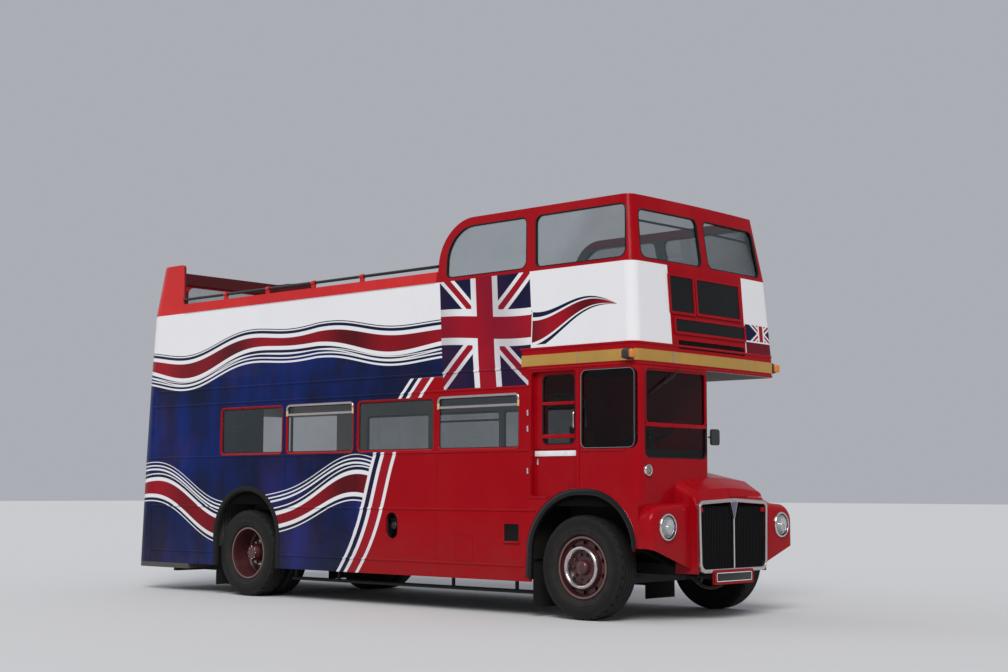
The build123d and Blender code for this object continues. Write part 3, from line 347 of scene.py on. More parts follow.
def livery(name):
    """The finish of every outer panel: stripes on the sides, white corners in front, red above."""
    paint = Paint(name)
    x, y, z = paint.place()
    lean = (z - KNEE_Z).most(0.0)
    high = (z - WAIST_Z).most(0.0)
    skin = abs(y) - (HALF_WIDTH - lean * 0.049 - high * 0.092)
    nose = x - (FRONT_PLANE - lean * 0.072 - high * 0.076 - y * y * (FRONT_BOW / 1.23))
    rear = (z - BELT_Z) * 0.050 + (z - BELT_Z).most(0.0).least(0.955) * 0.016 - abs(REAR_PLANE)
    tail = rear - lean * 0.0303 + high * 0.070 - x
    outer = plan_reach(skin, nose, 0.110).most(plan_reach(skin, tail, 0.250)).above(-0.020)
    facing = nose.above(-0.075) * skin.below(-0.004)
    above_waist = z.above(WAIST_Z - 0.006)
    colour = paint.layers(
        side_livery(paint, x, z),
        *small_flag(paint, y, z, nose.above(-0.095)),
        (facing * y.between(-0.640, 0.640), BUS_RED),
        (x.above(GOLD_END) * z.between(2.40, 2.655), BUS_RED),
        (z.between(GOLD_LOW, GOLD_HIGH) * x.above(GOLD_END), GOLD),
        (above_waist, weathered(paint, FADED_RED, 0.12)),
        (above_waist * x.above(HOOD_END), weathered(paint, BUS_RED, 0.05)),
    )
    inside = paint.layers(
        BURGUNDY,
        (z.above(1.50) * z.below(2.43), CREAM),
        (z.between(WAIST_Z, 4.040) * x.above(HOOD_END), SLATE),
    )
    # Painted shade: the recessed side vent and the front louvre slots are painted near black.
    vent = x.between(*VENT[0]) * z.between(*VENT[1]) * y.below(0.0)
    slots = y.between(-0.536, 0.614) * z.between(2.633, 2.720) * nose.between(-0.080, -0.006)
    aged = (outer, weathered(paint, colour, 0.04))
    recess_shade = (vent.most(slots), (0.006, 0.005, 0.005))
    colour = paint.layers(inside, aged, recess_shade)
    shade, dirt = road_dirt(paint, colour, z)
    return polished(paint, shade, dirt, 0.26, 2.0, 0.10, coat=0.07, coat_rough=0.06)


# Other finishes

def window_glass(name):
    """Old tinted glass, darker in the cab: the sky shows on it at a slant."""
    paint = Paint(name)
    smear = paint.noise(2.2, 5.0, 0.62)
    share = (paint.slant(0.12) * 0.8 + smear * 0.16 + 0.24).held()
    x, y, z = paint.place()
    tint = paint.layers((0.17, 0.20, 0.21), (x.above(-0.660) * z.below(2.450), (0.035, 0.036, 0.038)))
    return paint.surface(tint, smear * 0.05 + 0.02, metal=1.0, alpha=share)


def plain(name, colour, rough, grain=20.0, spread=0.25, **more):
    """A simple finish whose shade and gloss vary a little."""
    paint = Paint(name)
    speck = paint.noise(grain, 4.0, 0.6)
    dark = tuple(part * (1.0 - spread) for part in colour)
    light = tuple(min(1.0, part * (1.0 + spread) + 0.001) for part in colour)
    shade = paint.layers(dark, (speck, light))
    return paint.surface(shade, speck * 0.16 + (rough - 0.08), normal=paint.bump(speck, 0.08, 0.0006), **more)


def bright(name, colour, rough):
    """Polished metal, a little hazy in places."""
    paint = Paint(name)
    haze = paint.noise(3.0, 4.0, 0.6)
    shade = paint.layers(tuple(part * 0.82 for part in colour), (haze, colour))
    return paint.surface(shade, haze * 0.14 + (rough - 0.06), metal=1.0)


def fluted_lens(name, colour, alpha):
    """Moulded lamp glass with fine upright ribs."""
    paint = Paint(name)
    x, y, z = paint.place()
    ribs = (y * 420.0).sine() * 0.5 + (z * 150.0).sine() * 0.3
    share = (paint.slant(0.30) * 0.7 + ribs * 0.10 + alpha).held()
    normal = paint.bump(ribs, 0.5, 0.004)
    return paint.surface(colour, 0.08, alpha=share, coat=0.6, coat_rough=0.04, normal=normal)


def wheel_reach(paint):
    """How far a point is from the axle of its wheel."""
    x, y, z = paint.place()
    along = abs(x).least(abs(x - REAR_AXLE))
    rise = z - TYRE_R
    return (along * along + rise * rise).root()


def tyre_rubber(name):
    """Black rubber: brown dust near the rim, fine moulded rings on the wall, a cleaner tread."""
    paint = Paint(name)
    reach = wheel_reach(paint)
    dust = paint.noise(9.0, 6.0, 0.65)
    fine = paint.noise(60.0, 3.0)
    near_rim = reach.below(0.395, 0.090) * (dust * 1.6 - 0.20).held()
    scuff = reach.between(0.455, 0.492, 0.012) * (dust * 1.8 - 0.55).held()
    shade = paint.layers(
        (0.0085, 0.0083, 0.0083),
        (near_rim * 0.70, (0.036, 0.031, 0.029)),
        (scuff * 0.45, (0.030, 0.028, 0.026)),
        (reach.above(0.4945, 0.004) * 0.5, (0.018, 0.017, 0.0165)),
    )
    rings = (reach * 950.0).sine() * reach.between(0.415, 0.450, 0.004)
    normal = paint.bump(rings * 0.5 + fine * 0.3, 0.35, 0.0015)
    return paint.surface(shade, fine * 0.14 + near_rim * 0.2 + 0.50, ior=1.25, normal=normal)


def wheel_paint(name):
    """Maroon enamel, dull with brake dust, with a pale painted highlight along the rim's edge, patchy with
    the dust noise.
    """
    paint = Paint(name)
    reach = wheel_reach(paint)
    dust = paint.noise(12.0, 6.0, 0.68)
    # Painted highlight: a pale ring along the rim's edge, broken up by the dust noise.
    edge = reach.between(0.284, 0.297, 0.004)
    shade = paint.layers(
        (0.070, 0.011, 0.014),
        ((dust * 2.2 - 0.75).held() * 0.8, (0.030, 0.017, 0.015)),
        (edge * (dust * 1.4).held() * 0.6, (0.22, 0.17, 0.14)),
    )
    normal = paint.bump(dust, 0.25, 0.001)
    return paint.surface(shade, dust * 0.35 + 0.22, coat=0.25, coat_rough=0.1, normal=normal)


def moquette(name):
    """Woven seat cloth with small lozenges."""
    paint = Paint(name)
    x, y, z = paint.place()
    grid = abs(((x + z) * 95.0).sine()) + abs((y * 95.0).sine())
    fine = paint.noise(260.0, 2.0)
    shade = paint.layers(
        (0.105, 0.012, 0.016),
        (grid.above(1.25, 0.2), (0.022, 0.030, 0.060)),
        (grid.below(0.45, 0.2), (0.36, 0.25, 0.10)),
        (fine * 0.5, (0.030, 0.010, 0.012)),
    )
    return paint.surface(shade, 0.9, sheen=0.4, normal=paint.bump(fine + grid * 0.4, 0.4, 0.001))


def deck(name, ceiling):
    """Ribbed boards; the upper deck is cream below, with painted shade on its underside over the driver."""
    paint = Paint(name)
    x, y, z = paint.place()
    ribs = (y * 125.0).sine()
    grit = paint.noise(30.0, 5.0, 0.65)
    rows = [(ribs.above(0.55, 0.2), (0.115, 0.108, 0.098)), (grit * 0.6, (0.050, 0.045, 0.040))]
    if ceiling:
        rows.append((z.below(2.452), CREAM))
        # Painted shade under the deck's front overhang, over the driver and bonnet.
        rows.append((z.below(2.452) * x.above(-0.600), (0.020, 0.015, 0.014)))
    shade = paint.layers((0.060, 0.058, 0.055), *rows)
    return paint.surface(shade, grit * 0.3 + 0.5, normal=paint.bump(ribs, 0.3, 0.003))


MATERIALS = {
    "red": gloss_red("red paint"),
    "livery": livery("striped paint"),
    "glass": window_glass("window glass"),
    "sign": plain("black sign glass", (0.007, 0.007, 0.008), 0.30, 3.0, coat=0.07, coat_rough=0.05, ior=1.18),
    "faded": gloss_red("faded red paint", FADED_RED),
    "catch": plain("yellowed catch", (0.62, 0.46, 0.20), 0.4),
    "arch_rubber": plain(
        "glossy arch rubber", (0.007, 0.007, 0.008), 0.24, coat=0.30, coat_rough=0.10, ior=1.2,
    ),
    # Near-black finish for the arch closing plates, wing liners and hand hole discs: painted shade inside the
    # arches, under the wings and in the holes.
    "shade_black": plain("black painted shade", (0.004, 0.004, 0.004), 0.9, ior=1.1),
    "cream": plain("cream paint", CREAM, 0.45),
    "white": plain("white paint", WHITE, 0.3, coat=0.4),
    "gold": bright("brass strip", (0.86, 0.50, 0.13), 0.30),
    "enamel": plain("blue enamel", (0.085, 0.065, 0.150), 0.25, coat=0.6),
    "lens": fluted_lens("fluted lens", (0.62, 0.66, 0.68), 0.25),
    "red_lens": fluted_lens("red lens", (0.42, 0.008, 0.006), 0.9),
    "frame_paint": plain("underframe paint", (0.020, 0.019, 0.019), 0.62, ior=1.25),
    "iron": plain("oily iron", (0.035, 0.031, 0.029), 0.5, metal=0.6),
    "tyre": tyre_rubber("tyre rubber"),
    "maroon": wheel_paint("wheel paint"),
    "chrome": bright("polished bright metal", (0.74, 0.72, 0.71), 0.12),
    "silver": bright("polished aluminium", (0.60, 0.55, 0.55), 0.24),
    "mesh": plain("black grille", (0.006, 0.006, 0.007), 0.5, ior=1.2),
    "amber": plain("amber lens", (0.62, 0.19, 0.015), 0.2, coat=0.5),
    "rail": plain("black coated tube", (0.009, 0.009, 0.010), 0.32, coat=0.2, ior=1.25),
    "rubber": plain("rubber sheet", (0.012, 0.012, 0.012), 0.8, ior=1.25),
    "plastic": plain("moulded black", (0.018, 0.018, 0.019), 0.5),
    "floor": deck("slatted floor", False),
    "moquette": moquette("seat cloth"),
    "vinyl": plain("seat vinyl", (0.105, 0.016, 0.018), 0.48, 60.0, 0.3, coat=0.15),
    "deck": deck("deck boards", True),
    "tube": plain("seat tube", (0.36, 0.36, 0.37), 0.35, metal=0.8),
    "plate": plain("black plate", (0.012, 0.012, 0.013), 0.4),
}

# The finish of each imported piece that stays
NODE_FINISH = {
    "livery": """upper_side_offside upper_side_nearside upper_front rear_upper
        lower_side_offside lower_side_nearside rear_lower""",
    "red": "cab_shell front_bulkhead cab_door nose_cowl bonnet_lid wing_offside wing_nearside sign_boxes",
    "glass": "upper_glass lower_glass cab_door_glass",
    "sign": "sign_glass",
    "silver": "radiator_surround",
    "mesh": "radiator_grille",
    "chrome": "headlamps",
    "amber": "small_lamps",
    "plate": "plate_holders",
    "deck": "upper_floor",
    "floor": "lower_floor rear_platform",
    "frame_paint": "staircase underframe cab_floor fuel_tank side_guards",
    "iron": """power_unit driveline exhaust rear_axle front_suspension
        knuckle_offside knuckle_nearside""",
    "moquette": "lower_seat_pads upper_seat_pads driver_seat",
    "tube": "seat_frames",
    "plastic": "steering_wheel dashboard mirrors",
    "rail": "handrails",
    "rubber": "mud_flaps",
    "tyre": "front_tyre_offside front_tyre_nearside rear_tyres_offside rear_tyres_nearside",
    "maroon": "front_rim_offside front_rim_nearside rear_rim_offside rear_rim_nearside",
}
for finish, names in NODE_FINISH.items():
    for name in names.split():
        for slot in frame["nodes"][name].material_slots:
            slot.material = MATERIALS[finish]


# Shapes. Each maker gives back a bmesh, with x measured forward from the front axle.

BODY = (
    # height, half width, front of the upper body
    (0.285, HALF_WIDTH, FRONT_PLANE),
    (BELT_Z, HALF_WIDTH, FRONT_PLANE),
    (KNEE_Z, 1.216, FRONT_PLANE),
    (WAIST_Z, 1.174, 0.655),
    (4.130, 1.080, 0.556),
)
CORNER = 0.110
AHEAD, BACK, OUTWARD, CROSSWISE = (1.0, 0.0, 0.0), (-1.0, 0.0, 0.0), (0.0, -1.0, 0.0), (0.0, 1.0, 0.0)


def body_at(z):
    """Half width and front of the body at a height."""
    for low, high in zip(BODY, BODY[1:]):
        if z <= high[0]:
            share = (z - low[0]) / (high[0] - low[0])
            return [a + (b - a) * share for a, b in zip(low[1:], high[1:])]
    return list(BODY[-1][1:])


def lean_at(z, index):
    step = 0.004
    return (body_at(z + step)[index] - body_at(z - step)[index]) / (2 * step)


class Skin:
    """A face of the bus that flat outlines are laid on; turned is true where it mirrors them."""

    def __init__(self, spot, turned=False):
        self.spot = spot
        self.turned = turned

    def lay(self, points, out=0.0):
        """The points on the skin, moved out by a distance, with the outward directions."""
        if self.turned:
            points = list(reversed(points))
        spots, normals = zip(*(self.spot(u, v) for u, v in points))
        return [spot + normal * out for spot, normal in zip(spots, normals)], list(normals)

    def strip(self, points, section, closed=True, out=0.0):
        return swept(*self.lay(points, out), section, closed)

    def run(self, low, high, section):
        """A strip between two points of the face."""
        return self.strip([Vector(low).lerp(Vector(high), k / 6) for k in range(7)], section, False)

    def panel(self, points, thickness, ease=0.0015, out=0.0):
        return plate(*self.lay(points, out), thickness, ease)


def side_skin(side):
    def spot(u, v):
        normal = Vector((0.0, side, -lean_at(v, 0))).normalized()
        return Vector((u, side * body_at(v)[0], v)), normal
    return Skin(spot, side > 0)


def front_spot(u, v):
    half, front = body_at(v)
    reach = half - CORNER
    normal = Vector((1.0, 2 * FRONT_BOW * u / reach ** 2, -lean_at(v, 1))).normalized()
    return Vector((front - FRONT_BOW * (u / reach) ** 2, u, v)), normal


def front_wall(x):
    return Skin(lambda u, v: (Vector((x, u, v)), Vector(AHEAD)))


def side_wall(y, side):
    return Skin(lambda u, v: (Vector((u, y, v)), Vector((0.0, side, 0.0))), side > 0)


OFFSIDE, NEARSIDE = side_skin(-1.0), side_skin(1.0)
BOTH = (OFFSIDE, NEARSIDE)
FRONT = Skin(front_spot)
CAB_FRONT = front_wall(FRONT_PLANE)
REAR_LEAN = 0.0457
REAR = Skin(lambda u, v: (Vector((REAR_PLANE - (BELT_Z - v) * REAR_LEAN, u, v)), Vector(BACK)), True)


def rounded(corners, steps=6):
    """Points of a closed outline; each corner is (u, v, radius)."""
    points = []
    for i, (u, v, radius) in enumerate(corners):
        here = Vector((u, v))
        if not radius:
            points.append(here)
            continue
        back = (Vector(corners[i - 1][:2]) - here).normalized()
        on = (Vector(corners[(i + 1) % len(corners)][:2]) - here).normalized()
        half = back.angle(on) / 2
        centre = here + (back + on).normalized() * (radius / math.sin(half))
        first = back * (radius / math.tan(half)) + here - centre
        last = on * (radius / math.tan(half)) + here - centre
        sweep = math.atan2(first.x * last.y - first.y * last.x, first.dot(last))
        points += [centre + Matrix.Rotation(sweep * k / steps, 2) @ first for k in range(steps + 1)]
    return points


def window(u_range, v_range, radius):
    """The outline of a rounded rectangle."""
    (u0, u1), (v0, v1) = u_range, v_range
    return rounded([(u, v, radius) for u, v in ((u0, v0), (u1, v0), (u1, v1), (u0, v1))])


def swept(path, normals, section, closed=True):
    """Carries a closed section, as (aside, out) points, along a path; aside points to its left."""
    count = len(path)
    frames = []
    for i in range(count):
        before = path[i] - path[i - 1] if closed or i else path[1] - path[0]
        after = path[(i + 1) % count] - path[i] if closed or i < count - 1 else before
        before, after = before.normalized(), after.normalized()
        ahead = (before + after).normalized()
        aside = normals[i].cross(ahead).normalized() / max(0.35, ahead.dot(after))
        frame = Matrix((aside, normals[i], ahead)).transposed().to_4x4()
        frame.translation = path[i]
        frames.append(frame)
    if closed:
        frames.append(frames[0])
    bm = bmesh.new()
    verts = [bm.verts.new(frames[0] @ Vector((a, b, 0.0))) for a, b in section]
    ring = first = [bm.edges.new((vert, verts[i - 1])) for i, vert in enumerate(verts)]
    for back, frame in zip(frames, frames[1:]):
        made = bmesh.ops.extrude_edge_only(bm, edges=ring)
        verts = of_kind(made, bmesh.types.BMVert)
        ring = [edge for edge in of_kind(made, bmesh.types.BMEdge) if set(edge.verts) <= set(verts)]
        bmesh.ops.transform(bm, matrix=frame @ back.inverted(), verts=verts)
    if closed:
        bmesh.ops.remove_doubles(bm, verts=bm.verts, dist=1e-6)
    else:
        bmesh.ops.contextual_create(bm, geom=first)
        bmesh.ops.contextual_create(bm, geom=ring)
    bmesh.ops.recalc_face_normals(bm, faces=bm.faces)
    return bm


def of_kind(made, kind):
    return [item for item in made["geom"] if isinstance(item, kind)]


def circle_section(radius, sides):
    turns = (2 * math.pi * (i + 0.5) / sides for i in range(sides))
    return [(radius * math.cos(turn), radius * math.sin(turn)) for turn in turns]


def band_section(width, low, high, edge=0.002):
    """A flat band with eased outer edges, centred on its path."""
    half = width / 2
    left = [(-half, low), (-half, high - edge), (-half + edge, high)]
    return left + [(-aside, out) for aside, out in reversed(left)]


def tube(points, radius, sides=10):
    """A round tube through points that lie in one plane or nearly so."""
    points = [Vector(point) for point in points]
    start = points[1] - points[0]
    spread = start.cross(points[-1] - points[0])
    normal = (spread if spread.length > 1e-6 else start.orthogonal()).normalized()
    return swept(points, [normal] * len(points), circle_section(radius, sides), False)


def bent(points, radius, steps=5):
    """The points with their inner corners rounded, in space."""
    points = [Vector(point) for point in points]
    made = [points[0]]
    for back, here, on in zip(points, points[1:], points[2:]):
        to_back, to_on = (back - here).normalized(), (on - here).normalized()
        half = to_back.angle(to_on) / 2
        run = min(radius / math.tan(half), (back - here).length * 0.49, (on - here).length * 0.49)
        start, end = here + to_back * run, here + to_on * run
        for k in range(steps + 1):
            share = k / steps
            made.append(start.lerp(here, share).lerp(here.lerp(end, share), share))
    return made + [points[-1]]


def turned(profile, centre, axis, steps, closed=False):
    """Spins a profile of (radius, along) about an axis."""
    centre, axis = Vector(centre), Vector(axis).normalized()
    arm = axis.orthogonal().normalized()
    bm = bmesh.new()
    verts = [bm.verts.new(centre + arm * radius + axis * along) for radius, along in profile]
    edges = [bm.edges.new(pair) for pair in zip(verts, verts[1:])]
    if closed:
        edges.append(bm.edges.new((verts[-1], verts[0])))
    bmesh.ops.spin(
        bm, geom=verts + edges, cent=centre, axis=axis, angle=2 * math.pi, steps=steps, use_merge=True,
    )
    bmesh.ops.remove_doubles(bm, verts=bm.verts, dist=1e-5)
    bmesh.ops.recalc_face_normals(bm, faces=bm.faces)
    return bm


def bevelled(bm, edges, offset, segments):
    bmesh.ops.bevel(
        bm, geom=edges, offset=offset, offset_type="OFFSET", segments=segments,
        profile=0.5, affect="EDGES", material=-1,
    )


def box(x_range, y_range, z_range, ease=0.003, segments=2):
    """A box with eased edges."""
    spans = (x_range, y_range, z_range)
    size = Vector([high - low for low, high in spans])
    bm = bmesh.new()
    bmesh.ops.create_cube(bm, size=1.0)
    bmesh.ops.scale(bm, vec=size, verts=bm.verts)
    bmesh.ops.translate(bm, vec=[(low + high) / 2 for low, high in spans], verts=bm.verts)
    if ease:
        bevelled(bm, bm.edges[:], min(ease, min(size) * 0.45), segments)
    return bm


def plate(spots, normals, thickness, ease=0.0):
    """A flat panel with this outline, raised by a thickness, with its outer edge eased."""
    bm = bmesh.new()
    base = bm.faces.new([bm.verts.new(spot) for spot in spots])
    made = bmesh.ops.extrude_face_region(bm, geom=[base])
    way = sum(normals, Vector()).normalized() * thickness
    bmesh.ops.translate(bm, vec=way, verts=of_kind(made, bmesh.types.BMVert))
    if ease:
        bevelled(bm, of_kind(made, bmesh.types.BMFace)[0].edges[:], ease, 2)
    bmesh.ops.recalc_face_normals(bm, faces=bm.faces)
    return bm


def prism(points, y_low, y_high):
    """A side view, given as (x, z) points, carried across the bus."""
    return plate([Vector((x, y_low, z)) for x, z in points], [Vector(CROSSWISE)], y_high - y_low)


def moved(shape, matrix):
    bmesh.ops.transform(shape, matrix=matrix, verts=shape.verts)
    return shape


def crossed(shape):
    """The same shape on the other side of the bus."""
    bmesh.ops.scale(shape, vec=(1.0, -1.0, 1.0), verts=shape.verts)
    bmesh.ops.reverse_faces(shape, faces=shape.faces)
    return shape


def mirrored(*spans_and_ease):
    """A box on the offside and its mirror on the nearside."""
    return box(*spans_and_ease), crossed(box(*spans_and_ease))


def gathered(name, finish, shapes):
    """One mesh object from shapes, carried into the shared frame."""
    whole = bmesh.new()
    for shape in shapes:
        mesh = bpy.data.meshes.new("shape")
        shape.to_mesh(mesh)
        shape.free()
        whole.from_mesh(mesh)
        bpy.data.meshes.remove(mesh)
    bmesh.ops.translate(whole, vec=(AXLE_X, 0.0, 0.0), verts=whole.verts)
    mesh = bpy.data.meshes.new(name)
    whole.to_mesh(mesh)
    whole.free()
    mesh.shade_smooth()
    mesh.materials.append(MATERIALS[finish])
    made = bpy.data.objects.new(name, mesh)
    bpy.context.scene.collection.objects.link(made)
    return made


def piece(name, finish, slot, *shapes, body="coachwork", crease=35.0, nodes=()):
    """One named piece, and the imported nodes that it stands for."""
    made = gathered(name, finish, shapes)
    made.data.set_sharp_from_angle(angle=math.radians(crease))
    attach(made, body)
    if nodes:
        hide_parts(*nodes)


# Tyres and wheels

TYRE_MID = 1.0705
TWIN_SPACING = 0.291
TREAD_STEPS = 96
GROOVE_R = 0.4935
GROOVES = (0.066, 0.022, -0.022, -0.066)
GROOVE = ((TYRE_R, 0.0055), (GROOVE_R, 0.004), (GROOVE_R, -0.004), (TYRE_R, -0.0055))
# Radius and distance from the middle plane, from the rim over the wall to the tread
TYRE_SIDE = (
    (0.285, 0.088), (0.299, 0.0895), (0.307, 0.0885), (0.322, 0.1155), (0.345, 0.1225), (0.3655, 0.1262),
    (0.3685, 0.1290), (0.3765, 0.1290), (0.3795, 0.1270), (0.408, 0.1286), (0.440, 0.1266),
    (0.468, 0.1222), (0.482, 0.1190), (0.490, 0.1165), (0.5000, 0.0990), (0.5030, 0.0920),
)
WAVE = 0.0045
# The front wheel's bright guard ring and hub cap, as radius and y
FRONT_GUARD = (
    (0.1640, -1.1330), (0.1660, -1.1700), (0.1790, -1.1990), (0.1860, -1.2090), (0.1910, -1.2120),
    (0.1985, -1.2120), (0.2080, -1.2060), (0.2165, -1.1940), (0.2180, -1.1260),
)
GUARD_SCALE = 0.965
FRONT_CAP = (
    (0.0, -1.2030), (0.030, -1.2020), (0.052, -1.1965), (0.064, -1.1860), (0.070, -1.1700), (0.078, -1.1390),
)
HOLE_LIP = ((0.0300, 0.0), (0.0290, 0.0200), (0.0265, 0.0245), (0.0235, 0.0245), (0.0220, 0.0215))
# A black disc set in each hand hole: painted shadow for the depth of the hole.
HOLE_SHADOW = ((0.0, 0.0222), (0.0225, 0.0222))
HOLE_PARTS = (("front_hand_hole_lips_", "maroon", HOLE_LIP), ("front_hand_hole_shadows_", "shade_black", HOLE_SHADOW))


def tyre(centre):
    """A heavy bus tyre with four wandering grooves, shoulder blocks and a ridge on each wall."""
    centre = Vector(centre)
    crown = [(radius, middle + along) for middle in GROOVES for radius, along in GROOVE]
    other = [(radius, -along) for radius, along in reversed(TYRE_SIDE)]
    bm = turned([*TYRE_SIDE, *crown, *other], centre, CROSSWISE, TREAD_STEPS, closed=True)
    step = 2 * math.pi / TREAD_STEPS
    waves = ([], [])
    for vert in bm.verts:
        x, along, z = vert.co - centre
        if math.hypot(x, z) > 0.493 and abs(along) < 0.080:
            waves[round(math.atan2(z, x) / step) // 2 % 2].append(vert)
    for way, verts in zip((WAVE, -WAVE), waves):
        bmesh.ops.translate(bm, vec=(0.0, way, 0.0), verts=verts)
    lugs = []
    for face in bm.faces:
        x, along, z = face.calc_center_median() - centre
        turn = math.floor(math.atan2(z, x) / step)
        if 0.094 < abs(along) < 0.118 and math.hypot(x, z) > 0.488 and turn % 3 == 0:
            lugs.append(face)
    bmesh.ops.inset_individual(bm, faces=lugs, thickness=0.003, depth=-0.006)
    return bm


def nut(x, y, z, size, reach):
    """A six-sided wheel nut, pointing out of the offside."""
    rows = ((0.0, 0.0), (size, 0.0), (size, reach * 0.8), (size * 0.8, reach), (0.0, reach))
    return turned(rows, (x, y, z), OUTWARD, 6)


def stud(x, y, z, size, reach):
    rows = ((0.0, 0.0), (size, 0.0), (size, reach - 0.002), (size - 0.002, reach), (0.0, reach))
    return turned(rows, (x, y, z), OUTWARD, 12)


def around(count, radius, shift=0.0, centre_x=0.0):
    """Places in a ring on an offside wheel, as (x, z)."""
    turns = [2 * math.pi * (i + shift) / count for i in range(count)]
    return [(centre_x + radius * math.cos(turn), TYRE_R + radius * math.sin(turn)) for turn in turns]


def on_wheel(rows):
    """A spun shape on the front axle from rows of (radius, y)."""
    return turned(rows, (0.0, 0.0, TYRE_R), CROSSWISE, 64)


def wheel_set(side, name):
    def both_wheels(word, finish, slot, shapes, body):
        shapes = [crossed(shape) for shape in shapes] if side > 0 else shapes
        piece(word + name, finish, slot, *shapes, body=body)

    front, rear = "front_wheel_" + name, "rear_wheels_" + name
    tread = tyre((0.0, side * TYRE_MID, TYRE_R))
    twins = [tyre((REAR_AXLE, side * (TYRE_MID - shift), TYRE_R)) for shift in (0.0, TWIN_SPACING)]
    piece("front_tyre_tread_" + name, "tyre", "tyre", tread, body=front, nodes=["front_tyre_" + name])
    piece("rear_tyre_treads_" + name, "tyre", "tyre", *twins, body=rear, nodes=["rear_tyres_" + name])
    rows = [(radius * GUARD_SCALE, y) for radius, y in (*FRONT_GUARD, FRONT_GUARD[0])]
    both_wheels("front_guard_ring_", "silver", "silver", [on_wheel(rows)], front)
    hub = [on_wheel(FRONT_CAP)]
    for x, z in around(10, 0.128):
        hub += [nut(x, -1.134, z, 0.017, 0.022), stud(x, -1.150, z, 0.009, 0.018)]
    hub += [stud(x, -1.190, z, 0.006, 0.011) for x, z in around(6, 0.048, 0.5)]
    both_wheels("front_hub_cap_", "maroon", "maroon", hub, front)
    spots = [(x, -1.104, z) for x, z in around(10, 0.240, 0.5)]
    for word, finish, profile in HOLE_PARTS:
        both_wheels(word, finish, "maroon", [turned(profile, spot, OUTWARD, 18) for spot in spots], front)
    nuts = []
    for x, z in around(10, 0.138, 0.5, REAR_AXLE):
        nuts += [nut(x, -0.955, z, 0.019, 0.030), stud(x, -0.980, z, 0.010, 0.018)]
    nuts += [stud(x, -1.100, z, 0.006, 0.016) for x, z in around(8, 0.072, 0.0, REAR_AXLE)]
    both_wheels("rear_wheel_nuts_", "chrome", "silver", nuts, rear)


wheel_set(-1.0, "offside")
wheel_set(1.0, "nearside")


# Wheel arches

FRONT_ARCH = [(0.655, 0.704), (0.670, 1.217, 0.560), (-0.640, 1.217, 0.630), (-0.640, 0.385)]
REAR_ARCH = [(-4.545, 0.345), (-4.545, 1.245, 0.560), (-5.695, 1.245, 0.560), (-5.695, 0.345)]
LIP = (
    (0.018, -0.040), (0.018, -0.002), (0.012, 0.008), (0.002, 0.014), (-0.010, 0.015), (-0.036, 0.009),
    (-0.046, 0.004), (-0.046, -0.002), (-0.004, -0.002), (0.006, -0.040),
)
BEAD = ((-0.047, -0.001), (-0.047, 0.006), (-0.051, 0.010), (-0.056, 0.006), (-0.056, -0.001))


def arch_line(first, right, left, last):
    """Points of an arch edge from its front foot over the top to its rear foot."""
    ends = ((last[0], 0.0, 0.0), (first[0], 0.0, 0.0))
    above = [point for point in rounded([*ends, right, left], 14)[2:] if point.y > first[1] + 0.01]
    return [Vector(first), *above, Vector(last)]


def arch_closer(skin, arch, foot):
    """A black plate behind the top of an arch, down to its foot: painted shade inside the arch."""
    head = [point for point in arch_line(*arch) if point.y > foot + 0.004]
    ends = [Vector((head[0].x + 0.010, foot)), Vector((head[-1].x - 0.010, foot))]
    return skin.panel([ends[0], *head, ends[1]], 0.010, 0.0, -0.048)


for name, finish, slot, arch, section in (
    ("arch_lips", "arch_rubber", "rubber", FRONT_ARCH, LIP),
    ("rear_arch_lips", "rubber", "rubber", REAR_ARCH, LIP),
    ("arch_beads", "red", "red_paint", FRONT_ARCH, BEAD),
):
    piece(name, finish, slot, *[skin.strip(arch_line(*arch), section, False) for skin in BOTH])
closers = [arch_closer(OFFSIDE, FRONT_ARCH, 1.094), *[arch_closer(skin, REAR_ARCH, 1.076) for skin in BOTH]]
piece("arch_closing_plates", "shade_black", "grey_frame", *closers)


# Windows

RUBBER = (
    (-0.001, -0.002), (0.000, 0.003), (0.004, 0.004), (0.010, 0.001), (0.012, -0.014), (0.003, -0.014),
    (0.002, -0.003),
)
INNER_RUBBER = ((0.020, -0.016), (0.022, -0.009), (0.027, -0.010), (0.030, -0.016))
RED_LIP = (
    (-0.004, -0.002), (-0.004, 0.002), (0.001, 0.005), (0.008, 0.003), (0.019, -0.005), (0.023, -0.010),
    (0.024, -0.016), (0.000, -0.016),
)
LOWER_WINDOWS = ((-1.939, -0.776), (-3.192, -1.989), (-4.407, -3.250), (-5.637, -4.475))
LOWER_Z = (1.659, 2.227)
OPENING = (0, 2)
HOOD_TOP = LOWER_Z[1] - 0.010
LIGHT_Z = 2.112
UPPER_LIGHTS = (
    # corners of a glazed bay, with their radii
    [(-0.678, 4.040, 0.080), (-0.609, 3.490, 0.080), (0.548, 3.490, 0.080), (0.486, 4.040, 0.080)],
    [(-1.920, 4.040, 0.340), (-1.871, 3.490, 0.080), (-0.727, 3.490, 0.080), (-0.790, 4.040, 0.080)],
)
FRONT_LIGHTS = (
    [(-1.035, 3.490, 0.080), (-0.050, 3.490, 0.080), (-0.050, 3.990, 0.080), (-0.985, 3.990, 0.080)],
    [(0.050, 3.490, 0.080), (1.035, 3.490, 0.080), (0.985, 3.990, 0.080), (0.050, 3.990, 0.080)],
)
SCREEN = window((-1.105, -0.095), (1.560, 2.415), 0.075)
REAR_LIGHT = window((-0.960, -0.330), (1.420, 2.120), 0.080)


